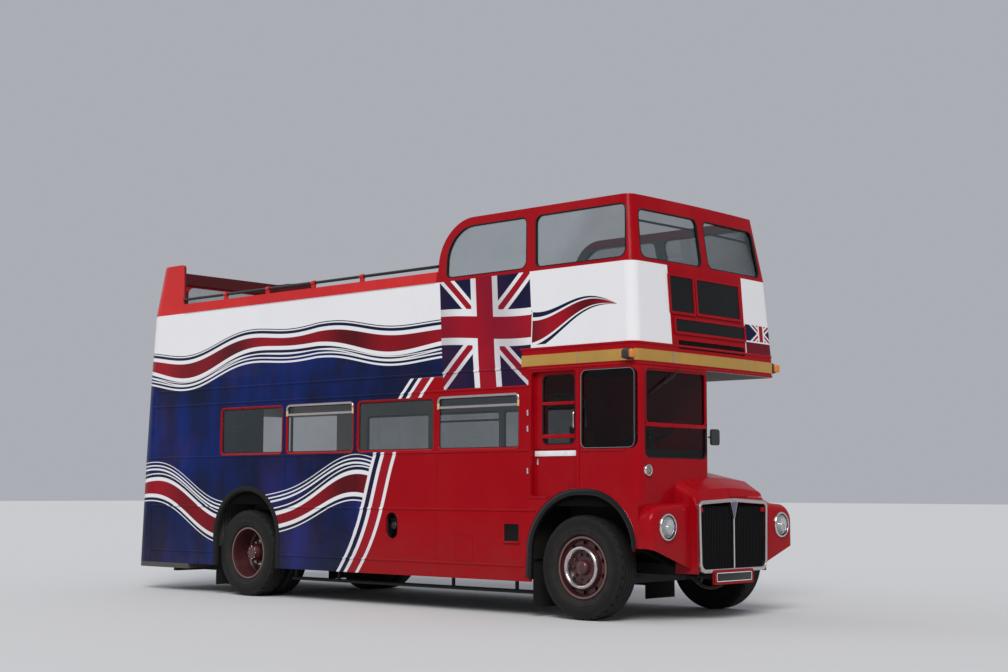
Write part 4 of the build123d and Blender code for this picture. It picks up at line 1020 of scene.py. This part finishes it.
def opening_light(skin, low, high):
    """The silver hood and bar of an opening window, and its two catches."""
    hood = [
        (high, HOOD_TOP - 0.060, 0.0), (high, HOOD_TOP, 0.045),
        (low, HOOD_TOP, 0.045), (low, HOOD_TOP - 0.060, 0.0),
    ]
    bar = [Vector((low + (high - low) * k / 4, LIGHT_Z)) for k in range(5)]
    silver = [
        skin.strip(rounded(hood), band_section(0.024, -0.012, 0.010), False),
        skin.strip(bar, band_section(0.026, -0.012, 0.006), False),
    ]
    z_range = (LIGHT_Z - 0.018, HOOD_TOP - 0.050)
    catches = [window((end - 0.012, end + 0.012), z_range, 0.004) for end in (low, high)]
    return silver, [skin.panel(catch, 0.013, out=-0.004) for catch in catches]


rubbers, edges, silvers, catches = [], [], [], []
for skin in BOTH:
    for i, span in enumerate(LOWER_WINDOWS):
        line = window(span, LOWER_Z, 0.055)
        edges.append(skin.strip(line, RED_LIP))
        rubbers.append(skin.strip(line, INNER_RUBBER))
        if i in OPENING:
            silver, pair = opening_light(skin, span[0] + 0.014, span[1] - 0.014)
            silvers += silver
            catches += pair
piece("opening_window_frames", "silver", "silver", *silvers)
piece("opening_window_catches", "catch", "red_paint", *catches)
piece("window_red_edges", "red", "red_paint", *edges)
for skin, lights in ((OFFSIDE, UPPER_LIGHTS), (NEARSIDE, UPPER_LIGHTS), (FRONT, FRONT_LIGHTS)):
    rubbers += [skin.strip(rounded(corners, 8), RUBBER) for corners in lights]
rubbers += [CAB_FRONT.strip(SCREEN, RUBBER), REAR.strip(REAR_LIGHT, RUBBER)]
piece("window_rubbers", "rubber", "rubber", *rubbers)


# Front wings

WING_FACE_X = 0.878
WING_TOP = 1.105
WING_RISE = 0.060
WING_INNER = 0.590
SHOULDER = 0.175
BROW = 0.085
WING_WALL = 0.004
WING_LOW = 0.300
LINER_GAP = 0.0065
FOOT_OUT, FOOT_IN = (-HALF_WIDTH, 0.706), (-0.640, 0.512)
FOOT_FRONT, ARCH_REAR = (FRONT_PLANE, 0.706), (-0.600, 0.808)
# x and height of the nearside wing's crown, from the front
CROWN = ((FRONT_PLANE, WING_TOP), (0.330, 1.240), (-0.200, 1.262), (-0.600, 1.225))
# Outlines across the bus, as y and z, and the wing's engine side, as x and z
ROOT = (FOOT_OUT, (-0.973, 0.730), (-0.634, 0.617), (-0.634, 1.140), (-HALF_WIDTH, 1.140))
# The next outline is the black block behind the offside lamp, which paints the shade under the cab's corner.
SHADED_ROOT = ((-1.205, 0.708), (-0.640, 0.520), (-0.640, 1.130), (-1.205, 1.130))
ENGINE_SIDE = [(-0.600, 0.760), (0.717, 0.760), (0.717, 1.184), (0.400, 1.288), (-0.600, 1.298)]


def leaned(bm):
    """Raises a wing's top towards the bonnet."""
    lean = Matrix.Identity(4)
    lean[2][1] = WING_RISE
    lean[2][3] = WING_RISE * HALF_WIDTH
    return moved(bm, lean)


def wing_nose(inset=0.0):
    """The crowned lamp end of the offside wing, a sheet that is open below."""
    across, up = (inset - HALF_WIDTH, -WING_INNER), (WING_LOW, WING_TOP - inset)
    bm = box((FRONT_PLANE, WING_FACE_X - inset), across, up, ease=0.0)
    bm.normal_update()
    out = [e for e in bm.edges if all(v.co.y < -1.2 and v.co.z > 1.09 for v in e.verts)]
    bevelled(bm, out, SHOULDER - inset, 10)
    face = next(f for f in bm.faces if f.normal.x > 0.99)
    brow = [e for e in face.edges if any(v.co.z > 0.31 and v.co.y < -WING_INNER - 0.001 for v in e.verts)]
    bevelled(bm, brow, BROW, 8)
    leaned(bm)
    bm.normal_update()
    slope = Vector((0.0, FOOT_IN[1] - FOOT_OUT[1], FOOT_OUT[0] - FOOT_IN[0]))
    whole = bm.verts[:] + bm.edges[:] + bm.faces[:]
    bmesh.ops.bisect_plane(bm, geom=whole, plane_co=(0.0, *FOOT_OUT), plane_no=slope, clear_outer=True)
    hidden = [f for f in bm.faces if f.normal.x < -0.99 or f.normal.y > 0.99]
    bmesh.ops.delete(bm, geom=hidden, context="FACES")
    bmesh.ops.solidify(bm, geom=bm.faces[:], thickness=WING_WALL)
    return bm


def wing_root(behind, ahead, outline):
    """A block across the bus behind the offside lamp, below the cab's corner."""
    return plate([Vector((behind, y, z)) for y, z in outline], [Vector(AHEAD)], ahead - behind)


def crown_height(x):
    for ahead, behind in zip(CROWN, CROWN[1:]):
        if x >= behind[0]:
            share = (x - behind[0]) / (ahead[0] - behind[0])
            return behind[1] + (ahead[1] - behind[1]) * share
    return CROWN[-1][1]


def shoulder_row(bm, x, low):
    """The edges of one cross section, from the side's lower edge over the shoulder to the bonnet."""
    top = crown_height(x)
    radius = min(SHOULDER, max(0.012, (top - low) * 0.55))
    turns = [math.pi / 2 * k / 8 for k in range(9)]
    bend = [
        (radius * (1 - math.cos(turn)) - HALF_WIDTH, top - radius * (1 - math.sin(turn))) for turn in turns
    ]
    verts = [bm.verts.new((x, y, z)) for y, z in ((-HALF_WIDTH, low), *bend, (-0.632, top))]
    return [bm.edges.new(pair) for pair in zip(verts, verts[1:])]


def nearside_sheet():
    """The pavement side wing over its wheel: a side and a crowned top in one bent sheet."""
    arch = [point for point in arch_line(*FRONT_ARCH) if point.x > -0.590 and point.y > 0.70]
    bm = bmesh.new()
    rows = [shoulder_row(bm, *point) for point in (FOOT_FRONT, *arch, ARCH_REAR)]
    for ahead, behind in zip(rows, rows[1:]):
        bmesh.ops.bridge_loops(bm, edges=ahead + behind)
    leaned(bm)
    bmesh.ops.recalc_face_normals(bm, faces=bm.faces)
    bmesh.ops.solidify(bm, geom=bm.faces[:], thickness=WING_WALL)
    return crossed(bm)


off_root = wing_root(0.660, FRONT_PLANE + 0.001, ROOT)
shaded_root = wing_root(0.664, FRONT_PLANE - 0.004, SHADED_ROOT)
piece("wing_sheet_offside", "red", "red_paint", wing_nose(), off_root, nodes=["wing_offside"])
# Black liners just inside both wing noses, and the black block behind the offside lamp: painted shade under
# the wings.
liners = (wing_nose(LINER_GAP), crossed(wing_nose(LINER_GAP)), shaded_root)
piece("wing_liners", "shade_black", "grey_frame", *liners)
engine_side = side_wall(0.607, 1.0).panel([Vector(point) for point in ENGINE_SIDE], 0.025, 0.0)
sheets = (crossed(wing_nose()), nearside_sheet(), engine_side)
piece("wing_sheet_nearside", "red", "red_paint", *sheets, nodes=["wing_nearside"])


# Cab door and cab windows

DOOR = side_wall(-1.169, -1.0)
DOOR_LIGHT = window((-0.514, -0.090), (1.700, 2.390), 0.060)
piece("cab_door_window_rubber", "rubber", "rubber", DOOR.strip(DOOR_LIGHT, RUBBER), body="cab_door")
BAR_HEIGHTS = ((2.090, 2.122), (1.760, 1.800))
bars = [box((-0.512, -0.092), (-1.176, -1.158), heights, 0.004) for heights in BAR_HEIGHTS]
bars.append(box((-0.620, -0.040), (-1.177, -1.168), (1.655, 1.668)))
piece("cab_door_window_bars", "red", "red_paint", *bars, body="cab_door")
strip = box((-0.608, -0.042), (-1.176, -1.168), (1.584, 1.638))
piece("cab_door_white_strip", "white", "side_paint", strip, body="cab_door")
PULL_X, PULL_IN, PULL_OUT, PULL_Z = -0.082, -1.168, -1.205, (1.860, 2.010)
pull = [(PULL_X, y, z) for z, ys in zip(PULL_Z, ((PULL_IN, PULL_OUT), (PULL_OUT, PULL_IN))) for y in ys]
latch = box((-0.596, -0.560), (-1.1762, PULL_IN), (1.500, 1.560))
piece("cab_door_handle", "chrome", "silver", tube(bent(pull, 0.018), 0.008), latch, body="cab_door")

CAB_SIDE = window((0.020, 0.690), (1.650, 2.420), 0.070)
EDGE_STRIP = ((0.006, 0.004), (0.006, 0.008), (0.010, 0.008), (0.012, 0.003))
piece("cab_window_rubbers", "rubber", "rubber", OFFSIDE.strip(CAB_SIDE, RUBBER))
piece("window_bright_edges", "silver", "silver", OFFSIDE.strip(CAB_SIDE, EDGE_STRIP))

SCREEN_Z = 1.872
UPPER_SCREEN = window((-1.092, -0.108), (SCREEN_Z + 0.014, 2.405), 0.050)
bar = box((0.697, 0.722), (-1.100, -0.100), (SCREEN_Z - 0.016, SCREEN_Z + 0.014), 0.005)
edge = CAB_FRONT.strip(UPPER_SCREEN, band_section(0.020, -0.012, 0.004), out=-0.002)
piece("windscreen_frames", "red", "red_paint", bar, edge)
shade = box((0.672, 0.690), (-1.090, -0.110), (1.575, 1.640), 0.006)
piece("windscreen_shades", "plastic", "black_plastic", shade)
arm = tube([(0.735, -0.560, 2.440), (0.742, -0.700, 2.330), (0.734, -0.840, 2.262)], 0.006, 8)
blade = tube([(0.727, -0.660, 2.370), (0.727, -1.035, 2.160)], 0.007, 6)
piece("wiper", "rail", "black_plastic", arm, blade)


# Mouldings

HALF_ROUND = (
    (-0.012, -0.001), (-0.011, 0.004), (-0.006, 0.008), (0.006, 0.008), (0.011, 0.004), (0.012, -0.001),
)
FLAT_STRIP = ((-0.016, -0.001), (-0.015, 0.003), (0.015, 0.003), (0.016, -0.001))
DOOR_EDGE = ((-0.010, -0.001), (-0.010, 0.006), (0.010, 0.006), (0.010, -0.001))
SEAM = ((-0.004, 0.004), (-0.004, 0.008), (0.004, 0.008), (0.004, 0.004))
TAIL_X, ENTRANCE_X = -7.030, -6.220
SIDE_STRIPS = (
    # height, rear end, front end
    (2.286, TAIL_X, -0.655),
    (BELT_Z, TAIL_X, -0.655),
    (1.048, TAIL_X, -5.756),
    (1.048, -4.484, -0.560),
    (0.498, TAIL_X, -5.756),
    (0.498, -4.484, -0.710),
)
PANEL_JOINTS = (-1.964, -3.221, -4.441)
JOINT_HEIGHTS = ((0.510, 1.034), (1.062, 1.632))


def wrap_path(z, back):
    """Round the front of the upper body at one height, from the offside to the nearside."""
    half, front = body_at(z)
    reach, centre_x = half - CORNER, front - FRONT_BOW - CORNER
    quarter = [math.pi / 2 * k / 8 for k in range(9)]
    xs = (back, (back + centre_x) / 2)
    rows = [((x, -half), (0.0, -1.0)) for x in xs]
    for side, turns in ((-1, quarter), (1, quarter[::-1])):
        for turn in turns:
            way = (math.sin(turn), side * math.cos(turn))
            rows.append(((centre_x + way[0] * CORNER, side * reach + way[1] * CORNER), way))
        if side < 0:
            bowed = [front_spot(-reach + 2 * reach * k / 10, z) for k in range(1, 10)]
            rows += [(spot.xy, normal.xy.normalized()) for spot, normal in bowed]
    rows += [((x, half), (0.0, 1.0)) for x in reversed(xs)]
    return [Vector((*spot, z)) for spot, way in rows], [Vector((*way, 0.0)) for spot, way in rows]


strips = [OFFSIDE.run((-0.640, 1.175), (-0.400, 1.175), HALF_ROUND)]
strips.append(OFFSIDE.run((-7.036, 0.360), (-7.036, 2.430), FLAT_STRIP))
for skin in BOTH:
    for z, rear, front in SIDE_STRIPS:
        rear = ENTRANCE_X if skin is NEARSIDE and rear == TAIL_X else rear
        strips.append(skin.run((rear, z), (front, z), HALF_ROUND))
    for x in PANEL_JOINTS:
        strips += [skin.run((x, low), (x, high), FLAT_STRIP) for low, high in JOINT_HEIGHTS]
    strips.append(skin.run((-6.900, 2.476), (-0.700, 2.476), HALF_ROUND))
    strips.append(skin.run((-6.490, WAIST_Z), (-2.030, WAIST_Z), HALF_ROUND))
piece("side_mouldings", "livery", "side_paint", *strips)

bands = [swept(*wrap_path(z, back), HALF_ROUND, False) for z, back in ((2.6595, -0.771), (2.4540, -0.640))]
bands.append(OFFSIDE.run((0.030, 1.632), (0.570, 1.632), HALF_ROUND))
bands += [OFFSIDE.run((x, foot), (x, 2.430), DOOR_EDGE) for x, foot in ((-0.632, 1.180), (-0.006, 1.262))]
piece("front_mouldings", "red", "red_paint", *bands)

gold_path = wrap_path((GOLD_LOW + GOLD_HIGH) / 2, GOLD_END)
gold = swept(*gold_path, band_section(GOLD_HIGH - GOLD_LOW, -0.002, 0.006), False)
piece("gold_band", "gold", "side_paint", gold)
GOLD_SEAMS = ((FRONT, -0.645), (FRONT, -0.625), (FRONT, 0.678), (OFFSIDE, -0.020), (NEARSIDE, -0.020))
seams = [skin.run((u, GOLD_LOW), (u, GOLD_HIGH), SEAM) for skin, u in GOLD_SEAMS]
piece("gold_band_seams", "silver", "side_paint", *seams)


# Lamps. A profile is (radius, reach) from the lamp's own face.

LAMP_X, LAMP_Y, LAMP_Z = 0.840, 0.977, 0.905
SIDE_LAMP = (FRONT_PLANE, -1.068, 1.441)
BEZEL = (
    (0.108, 0.030), (0.109, 0.052), (0.112, 0.058), (0.118, 0.061), (0.124, 0.059), (0.129, 0.053),
    (0.131, 0.044), (0.131, -0.010),
)
LAMP_SEAL = ((0.109, 0.040), (0.1085, 0.048), (0.101, 0.048), (0.099, 0.043), (0.099, 0.030))
BOWL = ((0.100, 0.0465), (0.092, 0.0430), (0.070, 0.0412), (0.0, 0.0405))
BULB = ((0.0, 0.0700), (0.010, 0.0685), (0.018, 0.0610), (0.020, 0.0405))
LENS = ((0.0, 0.0835), (0.020, 0.0825), (0.045, 0.0775), (0.070, 0.0680), (0.088, 0.0570), (0.100, 0.0460))
SIDE_RING = (
    (0.0575, -0.002), (0.0575, 0.012), (0.053, 0.019), (0.046, 0.021), (0.042, 0.017), (0.041, 0.008),
)
SIDE_LENS = ((0.042, 0.008), (0.038, 0.015), (0.025, 0.0195), (0.0, 0.0215))
TAIL_RING = ((0.047, -0.010), (0.047, 0.010), (0.043, 0.014), (0.038, 0.012), (0.037, 0.004))
TAIL_LENS = ((0.038, 0.004), (0.034, 0.014), (0.018, 0.020), (0.0, 0.022))


def lamps(name, finish, slot, profiles, nodes=("headlamps",), crease=35.0):
    """A part of both headlamps, from profiles and the steps that each is spun in."""
    spots = [(LAMP_X, y, LAMP_Z) for y in (-LAMP_Y, LAMP_Y)]
    spun = [turned(rows, spot, AHEAD, steps) for rows, steps in profiles for spot in spots]
    piece(name, finish, slot, *spun, nodes=nodes, crease=crease)


def small_lamps(name, finish, slot, *shapes, crease=35.0):
    piece(name, finish, slot, *shapes, nodes=["small_lamps"], crease=crease)


lamps("headlamp_bezels", "chrome", "silver", [(BEZEL, 48)])
lamps("headlamp_seals", "rubber", "rubber", [(LAMP_SEAL, 48)], nodes=())
lamps("headlamp_bowls", "chrome", "silver", [(BOWL, 48), (BULB, 20)])
lamps("headlamp_lenses", "lens", "lamp", [(LENS, 48)], crease=50.0)
small_lamps("side_lamp_ring", "chrome", "silver", turned(SIDE_RING, SIDE_LAMP, AHEAD, 36))
small_lamps("side_lamp_lens", "lens", "lamp", turned(SIDE_LENS, SIDE_LAMP, AHEAD, 36))
ear = mirrored((0.566, 0.672), (-1.290, -1.196), (2.494, 2.592), 0.030, 5)
foot = mirrored((0.580, 0.660), (-1.222, -1.190), (2.486, 2.600), 0.006)
small_lamps("direction_lamp_bodies", "plastic", "black_plastic", *ear, *foot)
front_lens = mirrored((0.660, 0.704), (-1.287, -1.208), (2.500, 2.586), 0.020, 5)
rear_lens = mirrored((0.550, 0.574), (-1.280, -1.212), (2.506, 2.580), 0.011, 3)
small_lamps("direction_lamp_lenses", "amber", "amber", *front_lens, *rear_lens, crease=50.0)
spots = [(-7.362 + (z - 0.9) * REAR_LEAN, -1.000, z) for z in (0.900, 1.010)]
small_lamps("tail_lamp_rings", "chrome", "silver", *[turned(TAIL_RING, spot, BACK, 28) for spot in spots])
small_lamps("tail_lamp_lenses", "red_lens", "lamp", *[turned(TAIL_LENS, spot, BACK, 28) for spot in spots])


# Radiator, plate and mirror

SURROUND = rounded([
    (-0.560, 0.479, 0.070), (0.560, 0.479, 0.070), (0.577, 1.132, 0.045),
    (0.0, 1.158, 0.0), (-0.577, 1.132, 0.045),
], 8)
SHIELD = rounded([(-0.050, 1.140, 0.010), (0.0, 0.985, 0.006), (0.050, 1.140, 0.010)])
PLATE_WALL = front_wall(0.984)
PLATE_RIM = window((-0.345, 0.287), (0.357, 0.475), 0.008)
PLATE_LINE = window((-0.326, 0.268), (0.376, 0.456), 0.010)
HOLDER = ["plate_holders"]
piece("radiator_shield", "enamel", "silver", front_wall(0.972).panel(SHIELD, 0.003))
tabs = [box((0.940, 0.955), (y - 0.028, y + 0.028), (1.040, 1.085), 0.004) for y in (-0.530, 0.530)]
piece("radiator_tabs", "red", "red_paint", *tabs)
bead = front_wall(0.967).strip(SURROUND, circle_section(0.0055, 8))
mullion = tube([(0.963, 0.0, 0.500), (0.963, 0.0, 0.975)], 0.0085, 12)
piece("surround_beading", "chrome", "silver", bead, mullion)
backing = box((0.950, 0.982), (-0.356, 0.298), (0.346, 0.486), 0.004)
rim = PLATE_WALL.strip(PLATE_RIM, band_section(0.022, -0.012, 0.0045))
piece("plate_frame", "red", "red_paint", backing, rim, nodes=HOLDER)
blank = box((0.975, 0.9855), (-0.334, 0.276), (0.368, 0.464), 0.002)
piece("plate_blank", "plate", "plate", blank, nodes=HOLDER)
line = PLATE_WALL.strip(PLATE_LINE, band_section(0.007, -0.001, 0.0012, 0.0003), out=0.0015)
piece("plate_border", "white", "plate", line, nodes=HOLDER)
piece("mirror_glass", "chrome", "silver", box((0.726, 0.731), (-0.054, 0.070), (1.708, 1.852)))


# Small fittings on the sides

TRAP = window((-1.680, -1.425), (0.526, 0.798), 0.020)
TRAP_LINE = ((-0.004, -0.001), (-0.003, 0.003), (0.003, 0.003), (0.004, -0.001))
FILLER_CORNERS = ((-2.720, 0.722), (-2.525, 0.722), (-2.525, 1.012), (-2.720, 1.012))
FILLER = rounded([(x, z, 0.092) for x, z in FILLER_CORNERS], 10)
CAP = ((0.0, 0.032), (0.030, 0.032), (0.040, 0.024), (0.042, 0.0))
fittings = [
    OFFSIDE.strip(window(*VENT, 0.014), band_section(0.014, -0.004, 0.005)),
    box((-0.990, -0.770), (-1.236, -1.215), (0.720, 0.731)),
    OFFSIDE.strip(TRAP, TRAP_LINE),
    OFFSIDE.strip(FILLER, band_section(0.012, -0.004, 0.004)),
]
piece("side_fittings", "red", "red_paint", *fittings)
cap = turned(CAP, (-2.622, -1.160, 0.867), OUTWARD, 28)
piece("filler_cap", "iron", "silver", cap, box((-2.650, -2.594), (-1.200, -1.190), (0.861, 0.873)))
hinges = [box((-0.668, -0.646), (-1.232, -1.214), (z - 0.030, z + 0.030), 0.005) for z in (1.86, 2.02, 1.44)]
piece("edge_fittings", "chrome", "silver", *hinges)


# Rail brackets and the stay behind the front windows

RAIL_Y, RAIL_Z = 1.148, 3.634
CLAMP = ((0.0, -0.032), (0.024, -0.032), (0.027, -0.026), (0.027, 0.026), (0.024, 0.032), (0.0, 0.032))
brackets = []
for x in (-5.674, -4.870, -4.042, -3.214):
    for y in (-RAIL_Y, RAIL_Y):
        brackets.append(box((x - 0.032, x + 0.032), (y - 0.013, y + 0.013), (3.570, RAIL_Z), 0.006))
        brackets.append(turned(CLAMP, (x, y, RAIL_Z), AHEAD, 20))
piece("rail_brackets", "faded", "red_paint", *brackets)
rod = tube([(0.492, -0.975, 3.884), (0.512, 0.0, 3.890), (0.492, 0.975, 3.884)], 0.012, 12)
ends = [box((0.470, 0.514), across, (3.868, 3.900), 0.006) for across in ((-1.020, -0.968), (0.968, 1.020))]
piece("front_window_stay", "rail", "rail", rod, *ends)


# The cab's inner window: an opaque black pane, painted shade for the dark space seen through it from both
# sides

CAB_LEFT = side_wall(-0.040, 1.0)
CAB_LIGHT = window((-0.420, 0.520), (1.700, 2.300), 0.060)
LEFT_RUBBER = ((-0.014, 0.0), (-0.012, 0.006), (0.010, 0.006), (0.014, 0.002))
piece("cab_left_window", "sign", "glass", CAB_LEFT.panel(CAB_LIGHT, 0.003, 0.0))
piece("cab_left_window_rubber", "rubber", "rubber", CAB_LEFT.strip(CAB_LIGHT, LEFT_RUBBER))


# Seats: one pad of each kind is inflated as cloth, then copied to its places

CLOTH_FRAMES = 20
PRESSURE = 4.0
MOST_SWELL = 0.014
VOXEL = 0.034
DECK_TOP = 2.490
FLOOR_TOP = 0.610
BENCH_Z = 1.100
SEAT_PITCH = 0.711
SEAT_Y = 0.680
HALF_SEAT = 0.207
PAD_SHIFTS = (-0.2165, 0.2165)
DRIVER_Y = -0.600


def finished_mesh(made):
    graph = bpy.context.evaluated_depsgraph_get()
    return bpy.data.meshes.new_from_object(made.evaluated_get(graph))


def puffed(shape):
    """Swells a closed shape like a filled cover, and gives back its mesh."""
    mesh = bpy.data.meshes.new("pad")
    shape.to_mesh(mesh)
    shape.free()
    pad = bpy.data.objects.new("pad", mesh)
    bpy.context.scene.collection.objects.link(pad)
    remesh = pad.modifiers.new("remesh", "REMESH")
    remesh.mode = "VOXEL"
    remesh.voxel_size = VOXEL
    pad.data = finished_mesh(pad)
    pad.modifiers.clear()
    start = [vert.co.copy() for vert in pad.data.vertices]
    cloth = pad.modifiers.new("cloth", "CLOTH")
    cloth.settings.use_pressure = True
    cloth.settings.uniform_pressure_force = PRESSURE
    cloth.settings.effector_weights.gravity = 0.0
    for step in range(1, CLOTH_FRAMES + 1):
        bpy.context.scene.frame_set(step)
    swollen = finished_mesh(pad)
    pad.modifiers.clear()
    for vert, first, swelled in zip(pad.data.vertices, start, swollen.vertices):
        shift = swelled.co - first
        shift.length = min(shift.length, MOST_SWELL)
        vert.co = first + shift
    bpy.context.scene.frame_set(1)
    result = pad.data
    bpy.data.objects.remove(pad)
    return result


def upholstery(name, finish, node, covers):
    """Padded covers gathered into one piece, each given as its mesh and its spot."""
    shapes = []
    for mesh, spot in covers:
        shape = bmesh.new()
        shape.from_mesh(mesh)
        shapes.append(moved(shape, Matrix.Translation(spot)))
    made = gathered(name, finish, shapes)
    finer = made.modifiers.new("subdivision", "SUBSURF")
    finer.levels = 1
    finer.render_levels = 1
    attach(made, "coachwork")
    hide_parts(node)


def bench_pad(depth, width, z_range):
    return puffed(box((-depth, depth), (-width, width), z_range, 0.0))


def double_seats(places, floor):
    seats = [(x, y + shift, floor) for x, y in places for shift in PAD_SHIFTS]
    return [(pad, seat) for seat in seats for pad in (cushion, backrest)]


CUSHION_SIDE = ((0.074, 0.342), (0.466, 0.360), (0.466, 0.436), (0.074, 0.420))
BACKREST_SIDE = ((0.012, 0.440), (0.050, 0.440), (-0.046, 0.884), (-0.090, 0.877))
cushion = puffed(prism(CUSHION_SIDE, -HALF_SEAT, HALF_SEAT))
backrest = puffed(prism(BACKREST_SIDE, -HALF_SEAT, HALF_SEAT))
bench = bench_pad(0.186, 0.205, (0.012, 0.078))
bench_back = bench_pad(0.186, 0.030, (0.100, 0.465))
driver_pad = bench_pad(0.218, 0.215, (0.012, 0.088))
driver_back = bench_pad(0.028, 0.215, (0.095, 0.455))

UPPER = [(-0.120 - i * SEAT_PITCH, y) for y, count in ((SEAT_Y, 9), (-SEAT_Y, 8)) for i in range(count)]
LOWER = [(-1.420 - i * SEAT_PITCH, y) for i in range(5) for y in (-SEAT_Y, SEAT_Y)]
benches = []
for x in (-5.520, -5.125, -4.730):
    for side in (-1, 1):
        benches += [(bench, (x, side * 0.835, BENCH_Z)), (bench_back, (x, side * 1.110, BENCH_Z))]
upholstery("upper_seats", "vinyl", "upper_seat_pads", double_seats(UPPER, DECK_TOP))
upholstery("lower_seats", "moquette", "lower_seat_pads", double_seats(LOWER, FLOOR_TOP) + benches)
driver_pads = [(driver_pad, (-0.205, DRIVER_Y, 1.460)), (driver_back, (-0.460, DRIVER_Y, 1.460))]
upholstery("driver_cushions", "vinyl", "driver_seat", driver_pads)
post = box((-0.330, -0.090), (-0.720, -0.480), (1.130, 1.450), 0.012)
pan = box((-0.430, 0.020), (-0.810, -0.390), (1.446, 1.470), 0.008)
piece("driver_seat_base", "tube", "seat_tube", post, pan, nodes=["driver_seat"])

GRAB_LINE = ((-0.020, 0.600), (-0.080, 0.872), (-0.096, 0.900))
SHELL_SIDE = ((0.006, 0.420), (0.014, 0.420), (-0.090, 0.870), (-0.098, 0.868))
grips, shells = [], []
for x, y, floor in [(*place, DECK_TOP) for place in UPPER] + [(*place, FLOOR_TOP) for place in LOWER]:
    ends = [[(x + a, y + reach, floor + b) for a, b in GRAB_LINE] for reach in (-0.428, 0.428)]
    grips.append(tube(bent(ends[0] + ends[1][::-1], 0.030), 0.011, 8))
    shell = prism(SHELL_SIDE, y - 0.415, y + 0.415)
    shells.append(moved(shell, Matrix.Translation((x - 0.004, 0.0, floor))))
piece("seat_grab_rails", "chrome", "seat_tube", *grips)
piece("seat_back_panels", "vinyl", "seat_tube", *shells)


# Platform, stairs and dashboard

PLATFORM_Z = 0.345
GOING, RISE = 0.175, (DECK_TOP - PLATFORM_Z) / 9
noses, treads = [], []
for i in range(8):
    x, z = -7.090 + i * GOING, PLATFORM_Z + (i + 1) * RISE
    noses.append(box((x - 0.006, x + 0.026), (-1.155, -0.565), (z - 0.020, z + 0.004)))
    for k in range(5):
        back = x + 0.040 + k * 0.024
        treads.append(box((back, back + 0.012), (-1.140, -0.580), (z - 0.001, z + 0.004), 0.0015, 1))
piece("stair_nosings", "chrome", "silver", *noses)
piece("stair_tread_strips", "rubber", "rubber", *treads)
rib_ys = [-0.470 + i * 0.062 for i in range(26)]
ribs = [box((-7.080, -6.290), (y, y + 0.030), (0.343, 0.349), 0.002, 1) for y in rib_ys]
piece("platform_ribs", "rubber", "rubber", *ribs)
piece("platform_edge", "white", "side_paint", box((-7.120, -6.240), (1.186, 1.214), (0.343, 0.352), 0.004))
DIAL = ((0.0, 0.006), (0.036, 0.006), (0.038, 0.0))
DIAL_RING = ((0.036, 0.0), (0.037, 0.009), (0.041, 0.009), (0.043, 0.0))
spots = [(0.5395, y, 1.450) for y in (-0.710, -0.600, -0.490)]
piece("dashboard_dials", "plate", "black_plastic", *[turned(DIAL, spot, BACK, 24) for spot in spots])
piece("dashboard_rings", "chrome", "silver", *[turned(DIAL_RING, spot, BACK, 24) for spot in spots])


# Studio

CAMERA_SPOT = (13.047, -13.086, 1.235)
CAMERA_TURN = -0.740
CAMERA_TILT = 0.098
CAMERA_ROLL = 0.003
CAMERA_LENS = 56.5
FLOOR_REACH = 150.0
FLOOR_PAINT = (0.58, 0.58, 0.585)
SKY, SKY_POWER = (0.88, 0.92, 1.0, 1.0), 0.46
SUNS = (
    # name, tilt and turn in degrees, power, spread in degrees, colour
    ("key", 48, 38, 2.5, 30.0, (1.0, 0.98, 0.95)),
    ("fill", 62, -75, 0.5, 60.0, (0.9, 0.95, 1.0)),
)


def placed(name, data):
    made = bpy.data.objects.new(name, data)
    bpy.context.scene.collection.objects.link(made)
    return made


def set_camera():
    """The photograph's own view, with its tilt and roll."""
    level = Vector((math.cos(CAMERA_TURN), -math.sin(CAMERA_TURN), 0.0))
    ahead = Vector((math.sin(CAMERA_TURN), math.cos(CAMERA_TURN), 0.0))
    look = ahead * math.cos(CAMERA_TILT) + Vector((0.0, 0.0, math.sin(CAMERA_TILT)))
    upright = level.cross(look)
    right = level * math.cos(CAMERA_ROLL) + upright * math.sin(CAMERA_ROLL)
    up = upright * math.cos(CAMERA_ROLL) - level * math.sin(CAMERA_ROLL)
    camera = placed("camera", bpy.data.cameras.new("camera"))
    camera.data.lens = CAMERA_LENS
    turn = Matrix((right, up, -look)).transposed()
    camera.matrix_world = Matrix.Translation(CAMERA_SPOT) @ turn.to_4x4()
    bpy.context.scene.camera = camera


def set_floor():
    bm = bmesh.new()
    bmesh.ops.create_grid(bm, x_segments=1, y_segments=1, size=FLOOR_REACH)
    mesh = bpy.data.meshes.new("studio_floor")
    bm.to_mesh(mesh)
    bm.free()
    mesh.materials.append(Paint("studio floor").surface(FLOOR_PAINT, 0.85))
    placed("studio_floor", mesh)


def set_light():
    world = bpy.data.worlds.new("studio")
    world.use_nodes = True
    sky = world.node_tree.nodes["Background"]
    sky.inputs["Color"].default_value = SKY
    sky.inputs["Strength"].default_value = SKY_POWER
    bpy.context.scene.world = world
    for name, tilt, turn, power, spread, tone in SUNS:
        sun = bpy.data.lights.new(name, "SUN")
        sun.energy = power
        sun.angle = math.radians(spread)
        sun.color = tone
        placed(name, sun).rotation_euler = (math.radians(tilt), 0.0, math.radians(turn))


set_camera()
set_floor()
set_light()
bpy.context.scene.view_settings.view_transform = "Standard"
